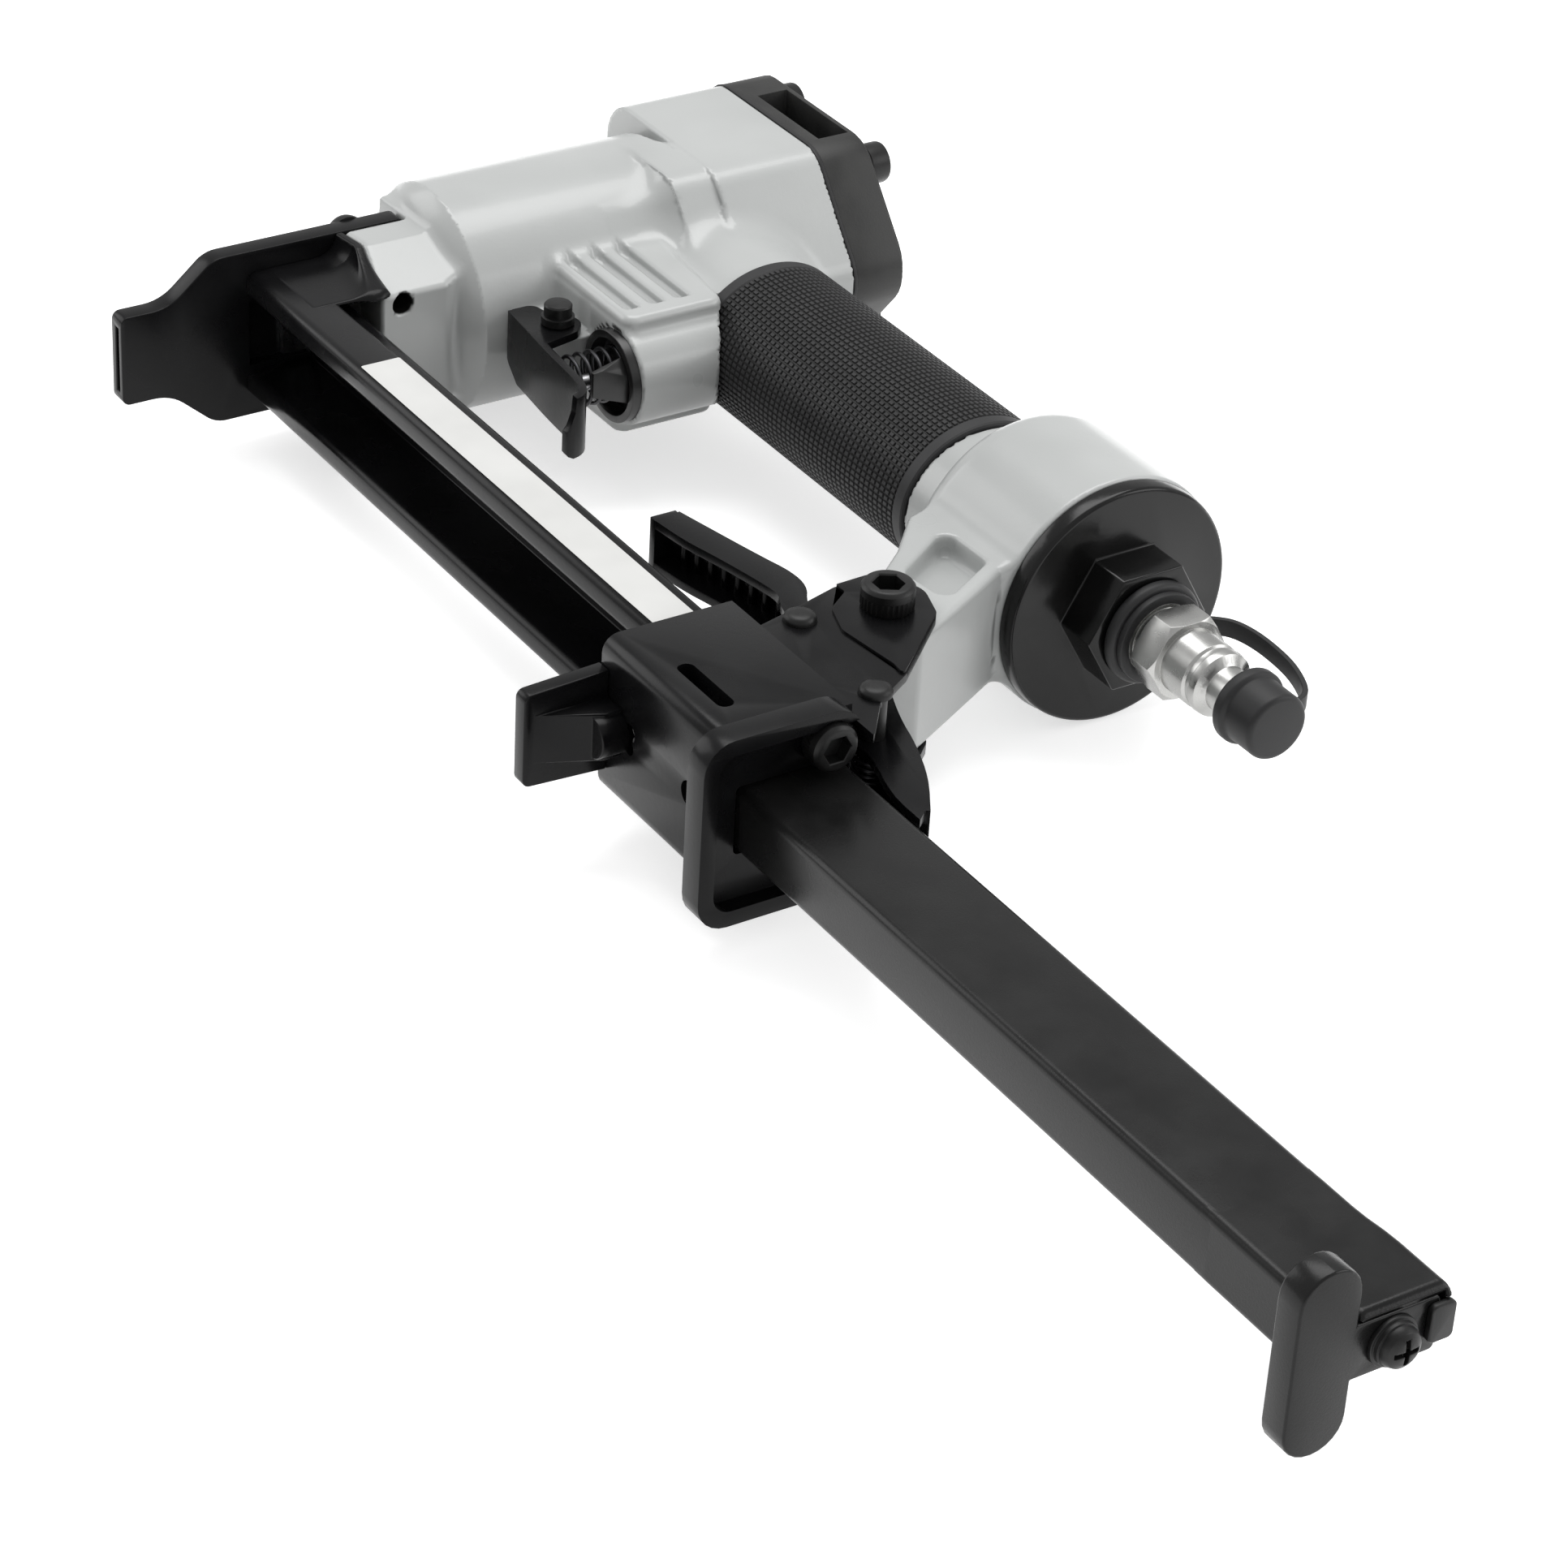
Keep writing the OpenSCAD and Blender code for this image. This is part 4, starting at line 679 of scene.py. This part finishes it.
# The magazine is a channel of folded steel, with its two cheeks welded on beside the nose block. A vinyl
# sticker lies on its upper side, a little off white, with a satin film over it.
def cheek_form(x, y, z):
    """The cheeks: each a sheet on the channel's side that bends out under the nose block, along its edge."""
    flange_drop, flange_half, flange_inset = 0.9, 0.7, 0.2
    sheet_x, sheet_reach, sheet_z, sheet_half, inner_z = 7.6, 9.2, 11.6, 0.98, 11.9
    block_edge = np.interp(x, *zip(*nose_side_line[:3]))
    thickness = np.abs(y - block_edge + flange_drop) - flange_half
    flange = bar(outline(x, z, nose_plan_line) + flange_inset, thickness, 0.3)
    side = np.maximum(np.abs(x - sheet_x) - sheet_reach, within(y, 29, 44))
    sheet = bar(side, np.abs(np.abs(z) - sheet_z) - sheet_half, 0.5)
    return np.maximum(joined(flange, sheet, 5.0), np.maximum(plate_seat_x - x, inner_z - np.abs(z)))


softened("fixed_magazine", black_enamel, "tool", 0.3)
cheeks = carved("magazine_cheeks", cheek_form, (-3, 26, -18), (19, 47, 18.1), 0.4)
shown("magazine_cheeks_piece", cheeks, black_enamel, "tool", "magazine_cheeks")
vinyl = finish_of("white_vinyl", {"IOR": 1.5}, ("#C9C9C7", "#D4D4D2"), 12, (0.3, 0.42), (2.0, 0.03, 0.15),
                  detail=2)
softened("label_sticker", vinyl, "tool", 0.05, segments=1)


# The rear bracket is folded from steel round the magazine's end, with the foot welded under it and the
# collar, a deep drawn frame, fixed to its end by one knurled screw with a hexagon socket.
def lathed(node, way, *solids):
    """Shows turned solids of blacked steel that stand for a CAD node of the tool."""
    shown(node + "_piece", placed(node, way, *solids), black_oxide, "tool", node)


softened("rear_bracket", black_enamel, "tool", 0.4)
softened("rear_collar", black_enamel, "tool", 0.7)
softened("foot", black_enamel, "tool", 0.5)
knurled_head = [(2, -6), (2, 0), (3.8, 0), (4.1, 0.4, "knurled"), (4.1, 2.4, "knurled"), (4.1, 2.5),
                (4.1, 3.9), (3.7, 4.45), (3.3, 4.6), (2.35, 4.6, "six"), (2.2, 4.4, "six"), (2.2, 2.2, "six")]
lathed("collar_screw", "x", (turned(knurled_head, sides=96), (178.8, 33, 11)))


# Two pressed plates tie the casting's arm to the bracket. Round headed rivets and a cross bolt, with a
# knurled head above and a hexagon head below, go through both of them.
softened("latch_plates", black_enamel, "tool", 0.12)
rivet_spots = ((149.5, 47.5, 0), (174, 46, 0))
rivet_half = [(2, 12.5), (2.8, 12.6), (2.8, 13.2), (2.5, 13.8), (1.9, 14.15), (1, 14.25)]
rivet = turned([(radius, -length) for radius, length in reversed(rivet_half)] + rivet_half)
lathed("latch_rivets", "z", *[(rivet, spot) for spot in rivet_spots])
bolt = [(5.2, -16.8, "six"), (5.5, -16.4, "six"), (5.5, -13.3, "six"), (3, -13.3), (3, 13.3), (4.2, 13.3),
        (4.5, 13.7, "knurled"), (4.5, 15.7, "knurled"), (4.5, 15.8), (4.5, 17.1), (4.1, 17.65), (3.7, 17.8),
        (2.6, 17.8, "six"), (2.4, 17.55, "six"), (2.4, 15.2, "six")]
lathed("cross_bolt", "z", (turned(bolt, sides=96), (bolt_x, bolt_y, 0)))


# The latch lever is a pressed channel whose long arm ends in a ribbed finger pad. A torsion coil of drawn
# spring wire, dark and half glossy, sits round its pivot. Geometry Nodes sweep the coil along a spiral.
def wound(tree, given):
    """A round wire swept along a spiral about z."""
    steps_a_turn, wire_sides = 40, 12
    spiral = add(tree, "GeometryNodeCurveSpiral", {
        "Resolution": steps_a_turn, "Rotations": given["Turns"], "Start Radius": given["Radius"],
        "End Radius": given["Radius"], "Height": given["Height"]})
    ring = add(tree, "GeometryNodeCurvePrimitiveCircle", {"Resolution": wire_sides, "Radius": given["Wire"]})
    sweep = add(tree, "GeometryNodeCurveToMesh", {
        "Curve": spiral.outputs[0], "Profile Curve": ring.outputs[0], "Fill Caps": True})
    return sweep.outputs[0]


spring_wire = finish_of("spring_wire", {"Metallic": 0.8}, ("#333335", "#454547"), 1.5, (0.24, 0.4),
                        (0.25, 0.02, 0.3))
softened("latch_lever", black_enamel, "latch", 0.35)
torsion = grown("torsion_coil", bpy.data.meshes.new("torsion_coil"),
                {"Turns": 4.0, "Radius": 0.0031, "Height": 0.0048, "Wire": 0.00035}, spring_wire, wound)
torsion.transform(Matrix.Translation((0.174 + AXIS / 1000, 0.046, -0.0024)))
shown("latch_spring_piece", torsion, spring_wire, "tool", "latch_spring")


# The magazine's slide is a rail of folded steel, drawn out of its channel by a pull tab. A spring catch and
# a domed cross slot screw with its washers hold the tab on the rail's end.
tab_x, end_x, end_corner, roof = 323.3, 329.3, 1.2, 36.9
slide_end_line = drawn_in([(296, 17.9), (tab_x, 17.9), (tab_x, 22.4), (end_x, 22.4), (end_x, 38), (317.5, 38),
                           (314.5, 37.85), (311, 37.45), (308, 37.3), (296, 37.3)], end_corner)
slide_hollow_line = [(290, 19.1), (335, 19.1), (335, roof), (316, roof), (307, 36.1), (290, 36.1)]


def slide_end_form(x, y, z):
    """The rail's last 23 mm: it flares, two walls reach over the tab's arm, and the upper is bent down."""
    rail_half, hollow_half, room_z, bend_back, lip_wall = 5.9, 4.7, 4.8, 2.1, 1.1
    body = bar(outline(x, y, slide_end_line) - end_corner, np.abs(z) - rail_half, 1.4)
    bend = (x - end_x + z - rail_half + bend_back) / math.sqrt(2)
    hollow = np.maximum(outline(x, y, slide_hollow_line), np.abs(z) - hollow_half)
    room = np.maximum(np.maximum(tab_x - x, z - room_z), np.maximum(y - roof, bend + lip_wall))
    form = cut(cut(shared(body, bend, 0.5), hollow, 0.3), room, 0.3)
    # The lower wall stops at the tab's arm, and the bent lip ends above it.
    lower_z, lip_x, lip_z = -3, 328.2, 4.0
    form = np.maximum(form, -np.maximum(tab_x - x, z - lower_z))
    form = np.maximum(form, -np.maximum(lip_x - x, z - lip_z))
    # Its first 3 mm lie a hair within the rail's walls.
    start_x, hair = 298.2, 0.03
    return np.maximum(form + hair * np.clip(301 - x, 0, 1), start_x - x)


# Rail and tab are sprayed satin black: dark, with soft, broad lights. The paint's grain is drawn at 0.45 mm,
# coarser than it is, so that it shows.
satin_black = finish_of("satin_black_paint", {"IOR": 1.5, "Specular IOR Level": 0.24},
                        ("#0E0E0E", "#1B1B1B"), 10, (0.2, 0.34), (0.45, 0.06, 0.25), detail=3)
front = rounded_copy("slide_rail", 0.3)
front_end = (300.95 + AXIS) / 1000
work = bmesh.new()
work.from_mesh(front)
trimmed = bmesh.ops.bisect_plane(work, geom=work.verts[:] + work.edges[:] + work.faces[:], dist=1e-7,
                                 plane_co=(front_end, 0, 0), plane_no=(1, 0, 0), clear_outer=True)
bmesh.ops.triangle_fill(work, edges=[e for e in trimmed["geom_cut"] if isinstance(e, bmesh.types.BMEdge)])
work.to_mesh(front)
work.free()


def merged(*meshes):
    """One mesh of several, which keeps their normals."""
    points, faces, normals = [], [], []
    for mesh in meshes:
        start = len(points)
        points += [v.co[:] for v in mesh.vertices]
        faces += [[start + v for v in p.vertices] for p in mesh.polygons]
        normals += [n.vector[:] for n in mesh.corner_normals]
    made = bpy.data.meshes.new("merged")
    made.from_pydata(points, [], faces)
    made.polygons.foreach_set("use_smooth", [True] * len(faces))
    made.normals_split_custom_set(normals)
    return made


rear = carved("slide_end", slide_end_form, (297, 16, -7), (331, 40, 7.1), 0.4)
shown("slide_rail_piece", merged(front, rear), satin_black, "slide", "slide_rail")
softened("pull_tab", satin_black, "slide", 0.6)
softened("slide_catch", black_oxide, "slide", 0.3)
softened("slide_screw", black_oxide, "slide", 0.18)


# The trigger is pressed from steel and turns on a headed pin. Its return coil, loose and a little larger than
# the stem, stands in the cup of the valve housing, beside a guard.
softened("trigger", black_enamel, "trigger", 0.4)
pin = [(2.8, -8.4), (2.8, -6.8), (2, -6.8), (2, 6.8), (3.05, 6.8), (3.05, 8.2), (2.6, 8.3), (2.6, 10.3),
       (2.35, 10.6), (1.9, 10.7)]
lathed("trigger_pin", "z", (turned(pin), (pin_x, pin_y, 0)))
# Housing and guard are moulded in black acetal: smooth and a little waxy, with a soft shine.
moulding = finish_of("black_acetal", {"IOR": 1.48}, ("#161616", "#1F1F1F"), 5, (0.25, 0.38), (0.6, 0.03, 0.2),
                     detail=3)
softened("valve_housing", moulding, "tool", 0.2)
softened("valve_guard", moulding, "tool", 0.25)
return_coil = grown("return_coil", bpy.data.meshes.new("return_coil"),
                    {"Turns": 5.5, "Radius": 0.0047, "Height": 0.0125, "Wire": 0.0004}, spring_wire, wound)
return_coil.transform(Matrix.Translation((0.0412 + AXIS / 1000, 0.0656, 0))
                      @ Matrix.Rotation(-math.pi / 2, 4, "X"))
return_piece = shown("trigger_spring_piece", return_coil, spring_wire, "tool", "trigger_spring")
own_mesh(return_piece)


# The end cap closes the handle's air chamber: a casting in glossy black enamel with a bright bevel and a
# hexagon boss. Its face is bare. A rubber ring, the coupling nipple and the dust cap on its strap follow.
gloss_black = finish_of("glossy_black_enamel", {"IOR": 1.5, "Specular IOR Level": 0.3},
                        ("#060606", "#121212"), 12, (0.12, 0.26), (0.9, 0.06, 0.15), detail=3)
softened("end_cap", gloss_black, "tool", 0.45)
softened("end_cap_ring", rubber, "tool", 0.3)
# Nickel plate on the turned nipple: pale and bright, a little duller where couplings have run over it.
nickel = finish_of("nickel_plate", {"Metallic": 1.0}, ("#A6A6A4", "#B8B8B6"), 6, (0.2, 0.34),
                   (0.5, 0.01, 0.2))
softened("air_nipple", nickel, "tool", 0.25)
softened("dust_cap", rubber, "dust_cap", 0.25)
strap = shown("cap_strap_piece", rounded_copy("cap_strap", 0.25), rubber, None, "cap_strap")
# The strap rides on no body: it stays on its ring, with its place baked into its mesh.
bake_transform(strap)
softened("strap_ring", rubber, "tool", 0.2)


# Inside are a honed sleeve, the piston with its ring, the driver blade and a tan bumper. The stem, the staple
# pusher and its rod are ground steel too. These keep the shapes of the CAD, with their own finishes: the
# steel is bright with fine dull patches, and the bumper's polyurethane is waxy and even.
ground_steel = finish_of("ground_steel", {"Metallic": 1.0}, ("#8E8E90", "#A6A6A8"), 4, (0.22, 0.36),
                         (0.3, 0.01, 0.3))
bumper_rubber = finish_of("tan_polyurethane", {"IOR": 1.5}, ("#7A5226", "#8A6030"), 5, (0.4, 0.5),
                          (0.6, 0.04, 0.2), detail=3)
for node, finish in (("cylinder_sleeve", ground_steel), ("bumper", bumper_rubber), ("piston", ground_steel),
                     ("piston_ring", rubber), ("driver_blade", ground_steel), ("valve_stem", ground_steel),
                     ("pusher", ground_steel), ("pusher_rod", ground_steel)):
    if not NODES[node].material_slots:
        NODES[node].data.materials.append(finish)
    for place in NODES[node].material_slots:
        place.link = "OBJECT"
        place.material = finish
